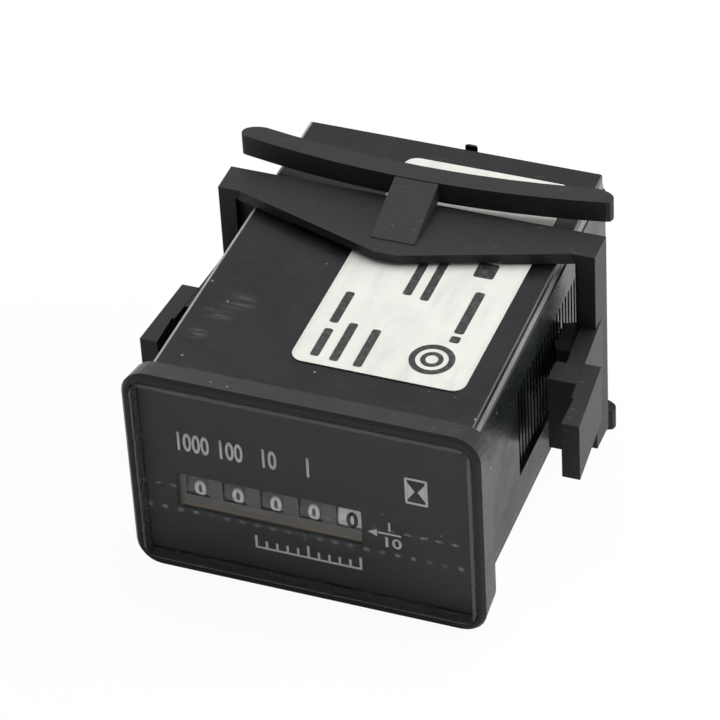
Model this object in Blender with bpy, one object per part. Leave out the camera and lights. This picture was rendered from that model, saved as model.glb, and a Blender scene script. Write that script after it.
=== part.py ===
"""Hour meter: a snap-in panel case with a five-wheel counter, its quartz drive and its spring clamp.

X runs to the right along the face, Y to the rear and Z up. Depths are measured from the panel
plane, which is the rear face of the flange, and the whole model is set so that the origin is the
centre of its box.
"""
import math

import bmesh
import bpy
from mathutils import Vector

# Case and flange
BODY_WIDTH = 0.0368
BODY_HEIGHT = 0.0241
CASE_DEPTH = 0.0465
SIDE_DRAFT = 0.0006
TOP_DRAFT = 0.00015
EDGE_RADIUS = 0.00015
EDGE_STEP_WIDTH = 0.0003
EDGE_STEP_HEIGHT = 0.0011
EDGE_STEP_SLOPE = 0.0008
STEP_RADIUS = 0.0002
REAR_BEVEL = 0.0003
CASE_WALL = 0.0014
SIDE_WALL = 0.00155
INNER_RADIUS = 0.0006
COVER_RADIUS = 0.0005
FLANGE_SIDE = 0.00185
FLANGE_RISE = 0.00145
FLANGE_REAR_RISE = 0.00065
FLANGE_DEPTH = 0.0035
FLANGE_CORNER = 0.003
FLANGE_EDGE = 0.00035
RIM_WIDTH = 0.00085

# Lens and dial
LENS_GAP = 0.00017
LENS_PROUD = 0.00045
LENS_THICKNESS = 0.0015
LENS_CORNER = 0.0017
LENS_STEP = 0.0006
LENS_BEVEL = 0.0003
DIAL_GAP = 0.0003
DIAL_THICKNESS = 0.0005
DIAL_MARGIN = 0.0004
DIAL_CORNER = 0.0008
WINDOW_HEIGHT = 0.00475
WINDOW_LAP = 0.0008
WINDOW_SHIFT = -0.0002
WINDOW_CHAMFER = 0.00025

# Ratchet track on each side of the case
TRACK_FRONT = 0.0142
TRACK_REAR_LAND = 0.0045
TRACK_HEIGHT = 0.012
TRACK_RAMP = 0.0012
RIB_PITCH = 0.001016
RIB_DEPTH = 0.00035
RIB_LAND = 0.0005
TRACK_DEPTH = 0.00075

# Label
LABEL_WIDTH = 0.0196
LABEL_FRONT = 0.0053
LABEL_REAR_MARGIN = 0.0035
LABEL_SIDE_MARGIN = 0.0032
LABEL_CORNER = 0.0015
LABEL_THICKNESS = 0.0001
LABEL_GAP = 0.00005

# Back cover and terminals
COVER_THICKNESS = 0.0018
COVER_SEAT = 0.0007
COVER_GAP = 0.00015
BOSS_HEIGHT = 0.0008
BOSS_WALL = 0.0008
CATCH_WIDTH = 0.0015
CATCH_RISE = 0.0003
CATCH_X = 0.00185
BLADE_WIDTH = 0.00635
BLADE_THICKNESS = 0.0008
BLADE_LENGTH = 0.008
BLADE_SPACING = 0.014
BLADE_HOLE = 0.0018
BLADE_HOLE_INSET = 0.0034
BLADE_TAPER = 0.0012
TAIL_WIDTH = 0.0032
SHOULDER_WIDTH = 0.0082
SHOULDER_DEPTH = 0.0007

# Clamp
CLAMP_GAP = 0.00105
ARM_THICKNESS = 0.0026
ARM_LENGTH = 0.004
ARM_STEP_WIDTH = 0.0006
ARM_STEP_DEPTH = 0.001
CLAMP_REAR = 0.0335
BRIDGE_THICKNESS = 0.0011
BRIDGE_GAP = 0.00045
BRIDGE_POINT = 0.0099
BRIDGE_NOSE = 0.0013
BOW_RISE = 0.00265
BOW_DEPTH = 0.0025
BOW_SETBACK = 0.00045
BOW_SWEEP = 0.0022
BOW_INSET = 0.0002
BOW_FRONT_CORNER = 0.0006
BOW_TIP_LENGTH = 0.0024
BOW_TIP_DEPTH = 0.0013
POST_WIDTH = 0.0051
POST_SETBACK = 0.002
LIP_LENGTH = 0.0072
LIP_GAP = 0.00015
LIP_DEPTH = 0.0015
LIP_SETBACK = 0.0001
LEG_HEIGHT = 0.0072
LEG_THICKNESS = 0.002
LEG_FLARE = 0.00075
CROSSHEAD_DROP = 0.0061
CROSSHEAD_STEP = 0.00005
CROSSHEAD_LENGTH = 0.0031
CROSSHEAD_SETBACK = 0.0068
CLAMP_LENGTH = 0.0204
FOOT_LENGTH = 0.0103
FOOT_HEIGHT = 0.0075
FOOT_THICKNESS = 0.00205
FOOT_FLARE = 0.00085
FOOT_PAD = 0.0044
FOOT_JOG = 0.0003
PAWL_HEIGHT = 0.0052
PAWL_GAP = 0.0002
PAWL_TEETH = 4

# Counter
WHEEL_RADIUS = 0.0043
WHEEL_GAP = 0.00028
CARRY_SIDE = 0.0006
COUNTER_TO_WALL = 0.0005
COUNTER_TO_FLOOR = 0.00745
WHEEL_COUNT = 5
WHEEL_TEETH = 20
PINION_TEETH = 8
CARRY_MODULE = 0.00036
SHAFT_RADIUS = 0.0005
PINION_SHAFT_RADIUS = 0.0004
SHAFT_CLEARANCE = 0.00012
DIAL_TO_WHEEL = 0.00035
PINION_ANGLE = math.radians(240)
CARRY_CLEARANCE = 0.00012
CARRY_TOOTH = 0.0006
RIM_BEVEL = 0.00012

# Gear train and motor
DRIVE_TEETH = 10
GEAR_TEETH = 40
SMALL_TEETH = 8
SECOND_MODULE = 0.00025
FIRST_MODULE = 0.0002
TOOTH_TIP = 0.85
TOOTH_ROOT = 1.15
TIP_SHARE = 0.11
ROOT_SHARE = 0.3
GEAR_WIDTH = 0.0006
GEAR_SPACE = 0.0008
SECOND_ANGLE = math.radians(20)
FIRST_ANGLE = math.radians(20)
ROTOR_ANGLE = math.radians(-12)
MOVEMENT_TO_WALL = 0.0021
ARBOR_RADIUS = 0.0004
MAGNET_RADIUS = 0.0021
MAGNET_LENGTH = 0.0016
MAGNET_BEVEL = 0.0002
STATOR_GAP = 0.00035
STATOR_THICKNESS = 0.0008
STATOR_HEIGHT = 0.0145
STATOR_ARM = 0.002
STATOR_CORE = 0.0028
STATOR_HEAD = 0.0077
STATOR_EAR = 0.001
STATOR_NECK = 0.003
COIL_RADIUS = 0.003
BOBBIN_RADIUS = 0.0034
BOBBIN_FLANGE = 0.0006
BOBBIN_WALL = 0.0004
CORE_GAP = 0.00015
WINDING_GAP = 0.0001
PLATE_THICKNESS = 0.0008
FRAME_GAP = 0.0003
PILLAR_RADIUS = 0.0011
PILLAR_FRONT = 0.0036
PILLAR_INSET = 0.0034
PILLAR_REAR = 0.004
SCREW_HEAD_RADIUS = 0.0012
SCREW_HEAD_HEIGHT = 0.0007
SCREW_RADIUS = 0.0005
SCREW_LENGTH = 0.003
SCREW_END_GAP = 0.0006
SCREW_CROWN_RADIUS = 0.00085
SCREW_SLOT = 0.00032
SHAFT_INSET = 0.00012
FRAME_CHAMFER = 0.0016
LEFT_PLATE_RISE = 0.0043
RIGHT_PLATE_REACH = 0.0062
PLATE_TOP_GAP = 0.0006
COVER_MARGIN = 0.0007

# Circuit board
BOARD_THICKNESS = 0.0012
BOARD_MARGIN = 0.0012
BOARD_TO_COVER = 0.0043
BOARD_TO_COIL = 0.0012
BOARD_CORNER = 0.0006
POST_RADIUS = 0.0012
POST_INSET = 0.0018
PART_GAP = 0.0003
CHIP_SIZE = (0.005, 0.0014, 0.0044)
CHIP_INSET = 0.0033
CHIP_SPACE = 0.0008
CHIP_DIMPLE = 0.0003
CAPACITOR_RADIUS = 0.0025
CAPACITOR_LENGTH = 0.0054
CAPACITOR_MARGIN = 0.0012
CAPACITOR_CRIMP = 0.0003
CRYSTAL_RADIUS = 0.0015
CRYSTAL_LENGTH = 0.0082
AXIAL_RADIUS = 0.0009
AXIAL_LENGTH = 0.0042
RESISTOR_RISE = 0.0048
DIODE_RISE = 0.0018

# Facets
CORNER_STEPS = 6
EDGE_STEPS = 2
DRUM_STEPS = 48
ROUND_STEPS = 20
SMALL_STEPS = 12
SHARP_ANGLE = math.radians(35)
DIRECTIONS = {"x": Vector((1, 0, 0)), "y": Vector((0, 1, 0)), "z": Vector((0, 0, 1))}

# Places that follow from the sizes above
FRONT = -FLANGE_DEPTH - LENS_PROUD
REAR = CASE_DEPTH + BLADE_LENGTH
PANEL_Y = -(FRONT + REAR) / 2
FLANGE_WIDTH = BODY_WIDTH + 2 * FLANGE_SIDE
FLANGE_HEIGHT = BODY_HEIGHT + 2 * FLANGE_RISE
FLANGE_REAR_HEIGHT = BODY_HEIGHT + 2 * FLANGE_REAR_RISE
LENS_WIDTH = FLANGE_WIDTH - 2 * RIM_WIDTH - 2 * LENS_GAP
LENS_HEIGHT = FLANGE_HEIGHT - 2 * RIM_WIDTH - 2 * LENS_GAP - FLANGE_EDGE
LENS_REAR = FRONT + LENS_THICKNESS
DIAL_FRONT = LENS_REAR + DIAL_GAP
DIAL_REAR = DIAL_FRONT + DIAL_THICKNESS
LEDGE = DIAL_REAR + DIAL_GAP
INNER_X = BODY_WIDTH / 2 - SIDE_WALL
INNER_REAR_X = BODY_WIDTH / 2 - SIDE_DRAFT - CASE_WALL
INNER_Z = BODY_HEIGHT / 2 - CASE_WALL
RIB_CREST = BODY_WIDTH / 2 - TRACK_DEPTH
TRACK_REAR = CASE_DEPTH - TRACK_REAR_LAND
FOOT_FRONT = CLAMP_REAR - CLAMP_LENGTH
COVER_FRONT = CASE_DEPTH - COVER_THICKNESS
ARM_INNER = BODY_WIDTH / 2 + CLAMP_GAP
ARM_OUTER = ARM_INNER + ARM_THICKNESS
BRIDGE_LOW = BODY_HEIGHT / 2 + BRIDGE_GAP
BRIDGE_TOP = BRIDGE_LOW + BRIDGE_THICKNESS
WHEEL_Y = DIAL_REAR + DIAL_TO_WHEEL + WHEEL_RADIUS
WHEEL_Z = -INNER_Z + COUNTER_TO_FLOOR
STACK = 2 * PLATE_THICKNESS + 3 * GEAR_SPACE + 2 * GEAR_WIDTH + MAGNET_LENGTH + SHAFT_CLEARANCE + SCREW_HEAD_HEIGHT
RIGHT_PLATE = INNER_REAR_X - MOVEMENT_TO_WALL - STACK
LEFT_PLATE = -INNER_X + COUNTER_TO_WALL + PLATE_THICKNESS
WHEEL_PITCH = (RIGHT_PLATE - LEFT_PLATE - 2 * FRAME_GAP + WHEEL_GAP) / WHEEL_COUNT
WHEEL_WIDTH = WHEEL_PITCH - WHEEL_GAP
RIM_FACE = WHEEL_WIDTH - 2 * CARRY_SIDE
PINION_WIDTH = WHEEL_GAP + 2 * CARRY_SIDE - 2 * CARRY_CLEARANCE
LAST_WHEEL_X = RIGHT_PLATE - FRAME_GAP - WHEEL_WIDTH / 2
WINDOW_X = (LEFT_PLATE + RIGHT_PLATE) / 2 + WINDOW_SHIFT
WINDOW_WIDTH = WHEEL_COUNT * WHEEL_PITCH - WINDOW_LAP
PINION_DISTANCE = CARRY_MODULE * (WHEEL_TEETH + PINION_TEETH) / 2
PINION_Y = WHEEL_Y + PINION_DISTANCE * math.cos(PINION_ANGLE)
PINION_Z = WHEEL_Z + PINION_DISTANCE * math.sin(PINION_ANGLE)
SECOND_DISTANCE = CARRY_MODULE * (WHEEL_TEETH + DRIVE_TEETH) / 2
SECOND_Y = WHEEL_Y + SECOND_DISTANCE * math.cos(SECOND_ANGLE)
SECOND_Z = WHEEL_Z + SECOND_DISTANCE * math.sin(SECOND_ANGLE)
FIRST_DISTANCE = SECOND_MODULE * (GEAR_TEETH + SMALL_TEETH) / 2
FIRST_Y = SECOND_Y + FIRST_DISTANCE * math.cos(FIRST_ANGLE)
FIRST_Z = SECOND_Z + FIRST_DISTANCE * math.sin(FIRST_ANGLE)
ROTOR_DISTANCE = FIRST_MODULE * (GEAR_TEETH + SMALL_TEETH) / 2
ROTOR_Y = FIRST_Y + ROTOR_DISTANCE * math.cos(ROTOR_ANGLE)
ROTOR_Z = FIRST_Z + ROTOR_DISTANCE * math.sin(ROTOR_ANGLE)
SECOND_GEAR_X = RIGHT_PLATE + PLATE_THICKNESS + GEAR_SPACE / 2
FIRST_GEAR_X = SECOND_GEAR_X + GEAR_WIDTH + GEAR_SPACE
MAGNET_X = FIRST_GEAR_X + GEAR_WIDTH + GEAR_SPACE
COVER_PLATE = MAGNET_X + MAGNET_LENGTH + GEAR_SPACE / 2
STATOR_X = MAGNET_X + (MAGNET_LENGTH - STATOR_THICKNESS) / 2
BOARD_REAR = COVER_FRONT - BOARD_TO_COVER
BOARD_FRONT = BOARD_REAR - BOARD_THICKNESS
BOARD_SEAT = BOARD_FRONT - PART_GAP
BOARD_HALF_WIDTH = INNER_REAR_X - BOARD_MARGIN
BOARD_HALF_HEIGHT = INNER_Z - TOP_DRAFT - BOARD_MARGIN
CAPACITOR_X = CAPACITOR_MARGIN + CAPACITOR_RADIUS - BOARD_HALF_WIDTH
CRYSTAL_X = CAPACITOR_X + CAPACITOR_RADIUS + CHIP_SPACE + CRYSTAL_RADIUS
CHIP_X = CRYSTAL_X + CRYSTAL_RADIUS + CHIP_SPACE + CHIP_SIZE[0] / 2
LABEL_LENGTH = CASE_DEPTH - LABEL_FRONT - LABEL_REAR_MARGIN
LABEL_X = BODY_WIDTH / 2 - LABEL_SIDE_MARGIN - LABEL_WIDTH / 2


def clear_scene():
    for item in list(bpy.data.objects):
        bpy.data.objects.remove(item, do_unlink=True)


def material(name, colour, roughness, metallic=0.0, alpha=1.0):
    made = bpy.data.materials.new(name)
    made.use_nodes = True
    shader = made.node_tree.nodes["Principled BSDF"]
    shader.inputs["Base Color"].default_value = (*colour, 1.0)
    shader.inputs["Roughness"].default_value = roughness
    shader.inputs["Metallic"].default_value = metallic
    shader.inputs["Alpha"].default_value = alpha
    return made


# Outlines

def arc(centre, radius_a, radius_b, start, turn, steps):
    """Points on an ellipse's arc; the turn is in quarter circles."""
    angles = [math.pi / 2 * (start + turn * step / steps) for step in range(steps + 1)]
    return [(centre[0] + radius_a * math.cos(t), centre[1] + radius_b * math.sin(t)) for t in angles]


def rounded_rectangle(half_a, half_b, radius, centre=(0.0, 0.0), steps=CORNER_STEPS):
    """Anticlockwise from the first axis, each corner as one arc."""
    points = []
    for corner, (sign_a, sign_b) in enumerate(((1, 1), (-1, 1), (-1, -1), (1, -1))):
        middle = (centre[0] + sign_a * (half_a - radius), centre[1] + sign_b * (half_b - radius))
        points += arc(middle, radius, radius, corner, 1, steps)
    return points


def stepped_rectangle(half_a, half_b):
    """The case's section: each long edge drops by a small step, then slopes out to the side."""
    ledge = half_b - EDGE_STEP_HEIGHT
    side = ledge - EDGE_STEP_SLOPE
    riser = half_a - EDGE_STEP_WIDTH
    corner = arc((half_a - EDGE_RADIUS, side - EDGE_RADIUS), EDGE_RADIUS, EDGE_RADIUS, 0, 1, EDGE_STEPS)
    corner.append((riser, ledge))
    corner += arc((riser - STEP_RADIUS, half_b - STEP_RADIUS), STEP_RADIUS, STEP_RADIUS, 0, 1, EDGE_STEPS)
    points = list(corner)
    points += [(-a, b) for a, b in reversed(corner)]
    points += [(-a, -b) for a, b in corner]
    points += [(a, -b) for a, b in reversed(corner)]
    return points


def rectangle(low_a, high_a, low_b, high_b):
    return [(low_a, low_b), (high_a, low_b), (high_a, high_b), (low_a, high_b)]


def gear_outline(teeth, module, phase=0.0):
    """Straight-flanked teeth with running backlash; one tooth is centred on the phase angle."""
    pitch_radius = teeth * module / 2
    tip = pitch_radius + TOOTH_TIP * module
    root = pitch_radius - TOOTH_ROOT * module
    step = 2 * math.pi / teeth
    points = []
    for tooth in range(teeth):
        middle = phase + tooth * step
        for radius, share in ((root, -ROOT_SHARE), (tip, -TIP_SHARE), (tip, TIP_SHARE), (root, ROOT_SHARE)):
            angle = middle + share * step
            points.append((radius * math.cos(angle), radius * math.sin(angle)))
    return points


def mesh_phase(phase, teeth, direction, mate_teeth):
    """Phase of the mate whose gap faces a tooth of the first gear along the line of centres."""
    return direction + math.pi + math.pi / mate_teeth - (phase - direction) * teeth / mate_teeth


# Solids

def spread(outline, axis, along):
    """Stand a flat outline up across the named axis."""
    if axis == "x":
        return [Vector((along, a, b)) for a, b in outline]
    if axis == "y":
        return [Vector((a, along, b)) for a, b in outline]
    return [Vector((a, b, along)) for a, b in outline]


def loft(rings, closed=False):
    """Bridge rings of equal count; a closed loft is a tube with walls, an open one has end caps."""
    solid = bmesh.new()
    rows = [[solid.verts.new(point) for point in ring] for ring in rings]
    count = len(rows[0])
    pairs = list(zip(rows, rows[1:]))
    if closed:
        pairs.append((rows[-1], rows[0]))
    for lower, upper in pairs:
        for index in range(count):
            following = (index + 1) % count
            solid.faces.new((lower[index], lower[following], upper[following], upper[index]))
    if not closed:
        solid.faces.new(rows[0])
        solid.faces.new(rows[-1])
    bmesh.ops.recalc_face_normals(solid, faces=solid.faces)
    return solid


def prism(outline, axis, low, high):
    """A flat outline extruded from low to high along the axis."""
    solid = bmesh.new()
    face = solid.faces.new([solid.verts.new(point) for point in spread(outline, axis, low)])
    grown = bmesh.ops.extrude_face_region(solid, geom=[face])
    moved = [item for item in grown["geom"] if isinstance(item, bmesh.types.BMVert)]
    bmesh.ops.translate(solid, verts=moved, vec=(high - low) * DIRECTIONS[axis])
    bmesh.ops.recalc_face_normals(solid, faces=solid.faces)
    return solid


def block(low_x, high_x, low_y, high_y, low_z, high_z):
    solid = bmesh.new()
    bmesh.ops.create_cube(solid, size=1.0)
    size = Vector((high_x - low_x, high_y - low_y, high_z - low_z))
    bmesh.ops.scale(solid, verts=solid.verts, vec=size)
    middle = Vector((high_x + low_x, high_y + low_y, high_z + low_z)) / 2
    bmesh.ops.translate(solid, verts=solid.verts, vec=middle)
    return solid


def turned(axis, profile, steps, centre=(0.0, 0.0)):
    """A round piece spun about its axis; the profile lists (place along the axis, radius)."""
    solid = bmesh.new()
    middle = spread([centre], axis, 0)[0]
    points = [spread([(centre[0] + radius, centre[1])], axis, along)[0] for along, radius in profile]
    chain = [solid.verts.new(point) for point in points]
    edges = [solid.edges.new(pair) for pair in zip(chain, chain[1:])]
    bmesh.ops.spin(solid, geom=chain + edges, cent=middle, axis=DIRECTIONS[axis], angle=2 * math.pi,
                   steps=steps, use_merge=True)
    rims = [edge for edge in solid.edges if len(edge.link_faces) == 1]
    bmesh.ops.edgeloop_fill(solid, edges=rims)
    bmesh.ops.recalc_face_normals(solid, faces=solid.faces)
    return solid


def rod(axis, radius, low, high, steps, centre=(0.0, 0.0)):
    return turned(axis, [(low, radius), (high, radius)], steps, centre)


def scratch_object(solid):
    mesh = bpy.data.meshes.new("scratch")
    solid.to_mesh(mesh)
    solid.free()
    made = bpy.data.objects.new("scratch", mesh)
    bpy.context.scene.collection.objects.link(made)
    return made


def combine(first, joined=(), cut=()):
    """One mesh from a first solid, the solids joined to it and the solids cut from it."""
    base = scratch_object(first)
    tools = []
    for operation, solids in (("UNION", joined), ("DIFFERENCE", cut)):
        for solid in solids:
            tool = scratch_object(solid)
            tools.append(tool)
            step = base.modifiers.new(operation.title(), "BOOLEAN")
            step.operation = operation
            step.solver = "EXACT"
            step.object = tool
    evaluated = base.evaluated_get(bpy.context.evaluated_depsgraph_get())
    mesh = bpy.data.meshes.new_from_object(evaluated)
    for item in (base, *tools):
        bpy.data.objects.remove(item, do_unlink=True)
    return mesh


def as_mesh(solid):
    mesh = bpy.data.meshes.new("part")
    solid.to_mesh(mesh)
    solid.free()
    return mesh


def add_part(name, mesh, finish, place=(0.0, 0.0, 0.0), smooth=False):
    """A named part; its place is counted from the panel plane."""
    made = bpy.data.objects.new(name, mesh)
    bpy.context.scene.collection.objects.link(made)
    made.location = (place[0], place[1] + PANEL_Y, place[2])
    mesh.materials.clear()
    mesh.materials.append(finish)
    if smooth:
        mesh.shade_smooth()
        mesh.set_sharp_from_angle(angle=SHARP_ANGLE)
    return made


# Case

def body_half_width(depth):
    return BODY_WIDTH / 2 - SIDE_DRAFT * depth / CASE_DEPTH


def body_half_height(depth):
    return BODY_HEIGHT / 2 - TOP_DRAFT * depth / CASE_DEPTH


def case_section(half_x, half_z, radius, depth):
    return spread(rounded_rectangle(half_x, half_z, radius), "y", depth)


def body_section(depth, inset=0.0):
    outline = stepped_rectangle(body_half_width(depth) - inset, body_half_height(depth) - inset)
    return spread(outline, "y", depth)


def track_cutter(side):
    """The pocket with its saw-tooth floor; each rib's steep face looks to the front."""
    outside = BODY_WIDTH / 2 + TRACK_DEPTH
    ribs = int((TRACK_REAR - TRACK_FRONT) / RIB_PITCH)
    outline = [(outside, TRACK_FRONT)]
    for rib in range(ribs):
        start = TRACK_FRONT + rib * RIB_PITCH
        outline.append((RIB_CREST, start))
        outline.append((RIB_CREST, start + RIB_LAND))
        outline.append((RIB_CREST - RIB_DEPTH, start + RIB_PITCH))
    end = TRACK_FRONT + ribs * RIB_PITCH
    outline.append((RIB_CREST, end))
    outline.append((outside, end + TRACK_RAMP))
    outline = [(side * x, y) for x, y in outline]
    return prism(outline, "z", -TRACK_HEIGHT / 2, TRACK_HEIGHT / 2)


def make_case(finish):
    """The flange is moulded on; the sections run from its rear face round the rim and the inside."""
    flange_x = FLANGE_WIDTH / 2
    flange_z = FLANGE_HEIGHT / 2
    pocket_x = LENS_WIDTH / 2 + LENS_GAP
    pocket_z = LENS_HEIGHT / 2 + LENS_GAP
    pocket_corner = LENS_CORNER + LENS_GAP
    rear_x = body_half_width(CASE_DEPTH)
    rear_z = body_half_height(CASE_DEPTH)
    cover_x = rear_x - COVER_SEAT
    cover_z = rear_z - COVER_SEAT
    seat = COVER_FRONT - COVER_GAP
    sections = [
        body_section(0),
        case_section(flange_x, FLANGE_REAR_HEIGHT / 2, FLANGE_CORNER, 0),
        case_section(flange_x, flange_z, FLANGE_CORNER, FLANGE_EDGE - FLANGE_DEPTH),
        case_section(flange_x - FLANGE_EDGE, flange_z - FLANGE_EDGE, FLANGE_CORNER - FLANGE_EDGE, -FLANGE_DEPTH),
        case_section(pocket_x, pocket_z, pocket_corner, -FLANGE_DEPTH),
        case_section(pocket_x, pocket_z, pocket_corner, LEDGE),
        case_section(INNER_X, INNER_Z, INNER_RADIUS, LEDGE),
        case_section(INNER_REAR_X, rear_z - CASE_WALL, INNER_RADIUS, seat),
        case_section(cover_x, cover_z, COVER_RADIUS, seat),
        case_section(cover_x, cover_z, COVER_RADIUS, CASE_DEPTH),
        body_section(CASE_DEPTH, REAR_BEVEL),
        body_section(CASE_DEPTH - REAR_BEVEL),
    ]
    mesh = combine(loft(sections, closed=True), cut=[track_cutter(1), track_cutter(-1)])
    return add_part("case", mesh, finish, smooth=True)


def make_lens(finish):
    half_x = LENS_WIDTH / 2
    half_z = LENS_HEIGHT / 2
    rings = [
        case_section(half_x, half_z, LENS_CORNER, LENS_REAR),
        case_section(half_x, half_z, LENS_CORNER, FRONT + LENS_BEVEL),
        case_section(half_x - LENS_STEP, half_z - LENS_STEP, LENS_CORNER - LENS_STEP, FRONT),
    ]
    return add_part("lens", as_mesh(loft(rings)), finish)


def make_dial(finish):
    half_x = LENS_WIDTH / 2 - DIAL_MARGIN
    half_z = LENS_HEIGHT / 2 - DIAL_MARGIN

    def window(grow, depth):
        half_w = WINDOW_WIDTH / 2 + grow
        half_h = WINDOW_HEIGHT / 2 + grow
        return spread(rounded_rectangle(half_w, half_h, WINDOW_CHAMFER + grow, (WINDOW_X, WHEEL_Z)), "y", depth)

    rings = [
        case_section(half_x, half_z, DIAL_CORNER, DIAL_FRONT),
        case_section(half_x, half_z, DIAL_CORNER, DIAL_REAR),
        window(0, DIAL_REAR),
        window(0, DIAL_FRONT + WINDOW_CHAMFER),
        window(WINDOW_CHAMFER, DIAL_FRONT),
    ]
    return add_part("dial_plate", as_mesh(loft(rings, closed=True)), finish)


def make_label(finish):
    """A thin sticker that follows the draft of the case's top."""
    middle = (LABEL_X, LABEL_FRONT + LABEL_LENGTH / 2)
    outline = rounded_rectangle(LABEL_WIDTH / 2, LABEL_LENGTH / 2, LABEL_CORNER, middle)
    low = [Vector((x, y, body_half_height(y) + LABEL_GAP)) for x, y in outline]
    high = [point + Vector((0, 0, LABEL_THICKNESS)) for point in low]
    return add_part("label", as_mesh(loft([low, high])), finish)


def board_post_places():
    half_x = BOARD_HALF_WIDTH - POST_INSET
    half_z = BOARD_HALF_HEIGHT - POST_INSET
    return [(side * half_x, level * half_z) for side in (-1, 1) for level in (-1, 1)]


def make_back_cover(finish):
    """The plate carries a boss and a slot for each tab, four posts for the board and a catch."""
    half_x = body_half_width(CASE_DEPTH) - COVER_SEAT - COVER_GAP
    half_z = body_half_height(CASE_DEPTH) - COVER_SEAT - COVER_GAP
    plate = loft([
        case_section(half_x, half_z, COVER_RADIUS, COVER_FRONT),
        case_section(half_x, half_z, COVER_RADIUS, CASE_DEPTH),
    ])
    wide = CATCH_WIDTH / 2
    narrow = CATCH_WIDTH / 3
    catch_low = half_z - CATCH_WIDTH
    catch_top = body_half_height(CASE_DEPTH) + CATCH_RISE
    catch_front = CASE_DEPTH + COVER_GAP
    catch = loft([
        spread(rectangle(CATCH_X - wide, CATCH_X + wide, catch_low, catch_top), "y", catch_front),
        spread(rectangle(CATCH_X - narrow, CATCH_X + narrow, catch_low, catch_top), "y", catch_front + CATCH_RISE),
    ])
    root = block(CATCH_X - narrow, CATCH_X + narrow, CASE_DEPTH - COVER_SEAT, catch_front + CATCH_RISE / 2,
                 catch_low, half_z - COVER_GAP)
    joined = [catch, root]
    slots = []
    for side in (-1, 1):
        centre = side * BLADE_SPACING / 2
        slot_x = BLADE_THICKNESS / 2 + COVER_GAP
        slot_z = BLADE_WIDTH / 2 + COVER_GAP
        boss_x = slot_x + BOSS_WALL
        boss_z = slot_z + BOSS_WALL
        boss_top = CASE_DEPTH + BOSS_HEIGHT
        joined.append(block(centre - boss_x, centre + boss_x, CASE_DEPTH - COVER_SEAT, boss_top, -boss_z, boss_z))
        slots.append(block(centre - slot_x, centre + slot_x, COVER_FRONT - COVER_SEAT, boss_top + BOSS_HEIGHT,
                           -slot_z, slot_z))
    for place in board_post_places():
        joined.append(rod("y", POST_RADIUS, BOARD_REAR + PART_GAP, COVER_FRONT + COVER_SEAT, SMALL_STEPS, place))
    return add_part("back_cover", combine(plate, joined, slots), finish)


def make_terminal(name, side, finish):
    """A tab with a tapered end, a wire hole and shoulders that stop it inside the cover."""
    centre = side * BLADE_SPACING / 2
    half = BLADE_WIDTH / 2
    shoulder = SHOULDER_WIDTH / 2
    tail = TAIL_WIDTH / 2
    shoulder_rear = COVER_FRONT - PART_GAP
    outline = [
        (BOARD_REAR + PART_GAP, -tail),
        (shoulder_rear - SHOULDER_DEPTH, -tail),
        (shoulder_rear - SHOULDER_DEPTH, -shoulder),
        (shoulder_rear, -shoulder),
        (shoulder_rear, -half),
        (REAR - BLADE_TAPER, -half),
        (REAR, -half + BLADE_TAPER),
    ]
    outline += [(y, -z) for y, z in reversed(outline)]
    blade = prism(outline, "x", centre - BLADE_THICKNESS / 2, centre + BLADE_THICKNESS / 2)
    wire_hole = rod("x", BLADE_HOLE / 2, centre - BLADE_THICKNESS, centre + BLADE_THICKNESS, ROUND_STEPS,
                    (REAR - BLADE_HOLE_INSET, 0))
    return add_part(name, combine(blade, cut=[wire_hole]), finish)


# Clamp

def bow_front(x):
    return CLAMP_REAR + BOW_SETBACK + BOW_SWEEP * (x / ARM_OUTER) ** 2


def bow_outline():
    """A bar swept back at both ends, with rounded tips."""
    half = ARM_OUTER - BOW_INSET
    front_end = half - BOW_FRONT_CORNER
    rear_end = half - BOW_TIP_LENGTH
    steps = 2 * CORNER_STEPS
    places = [2 * step / steps - 1 for step in range(1, steps)]
    front = [(front_end * place, bow_front(front_end * place)) for place in places]
    rear = [(-rear_end * place, bow_front(rear_end * place) + BOW_DEPTH) for place in places]
    front_centre = (front_end, bow_front(front_end) + BOW_FRONT_CORNER)
    rear_centre = (rear_end, bow_front(rear_end) + BOW_DEPTH - BOW_TIP_DEPTH)
    tip = arc(front_centre, BOW_FRONT_CORNER, BOW_FRONT_CORNER, -1, 1, EDGE_STEPS)
    tip += arc(rear_centre, BOW_TIP_LENGTH, BOW_TIP_DEPTH, 0, 1, CORNER_STEPS)
    return front + tip + rear + [(-x, y) for x, y in reversed(tip)]


def clamp_bridge(level):
    low, high = sorted((level * BRIDGE_LOW, level * BRIDGE_TOP))
    return prism(bridge_outline(), "z", low, high)


def bridge_edge(x):
    """The V-shaped front edge of the bridge."""
    share = min(1.0, max(0.0, (x - BRIDGE_NOSE) / (ARM_INNER - BRIDGE_NOSE)))
    return CLAMP_REAR - BRIDGE_POINT + (BRIDGE_POINT - ARM_LENGTH) * share


def bridge_outline():
    right = [(x, bridge_edge(x)) for x in (BRIDGE_NOSE, ARM_INNER, ARM_OUTER)]
    right.append((ARM_OUTER, CLAMP_REAR))
    return right + [(-x, y) for x, y in reversed(right)]


def clamp_lip(side, level):
    """A low rib under the end of the V edge that bears on the case."""
    near = ARM_INNER - LIP_LENGTH
    far = ARM_INNER + ARM_STEP_WIDTH / 2
    near_edge = bridge_edge(near) + LIP_SETBACK
    far_edge = bridge_edge(far) + LIP_SETBACK
    outline = [(near, near_edge), (far, far_edge), (far, far_edge + LIP_DEPTH), (near, near_edge + LIP_DEPTH)]
    low, high = sorted((level * (BODY_HEIGHT / 2 + LIP_GAP), level * (BRIDGE_LOW + BRIDGE_THICKNESS / 2)))
    return prism([(side * x, y) for x, y in outline], "z", low, high)


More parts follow.
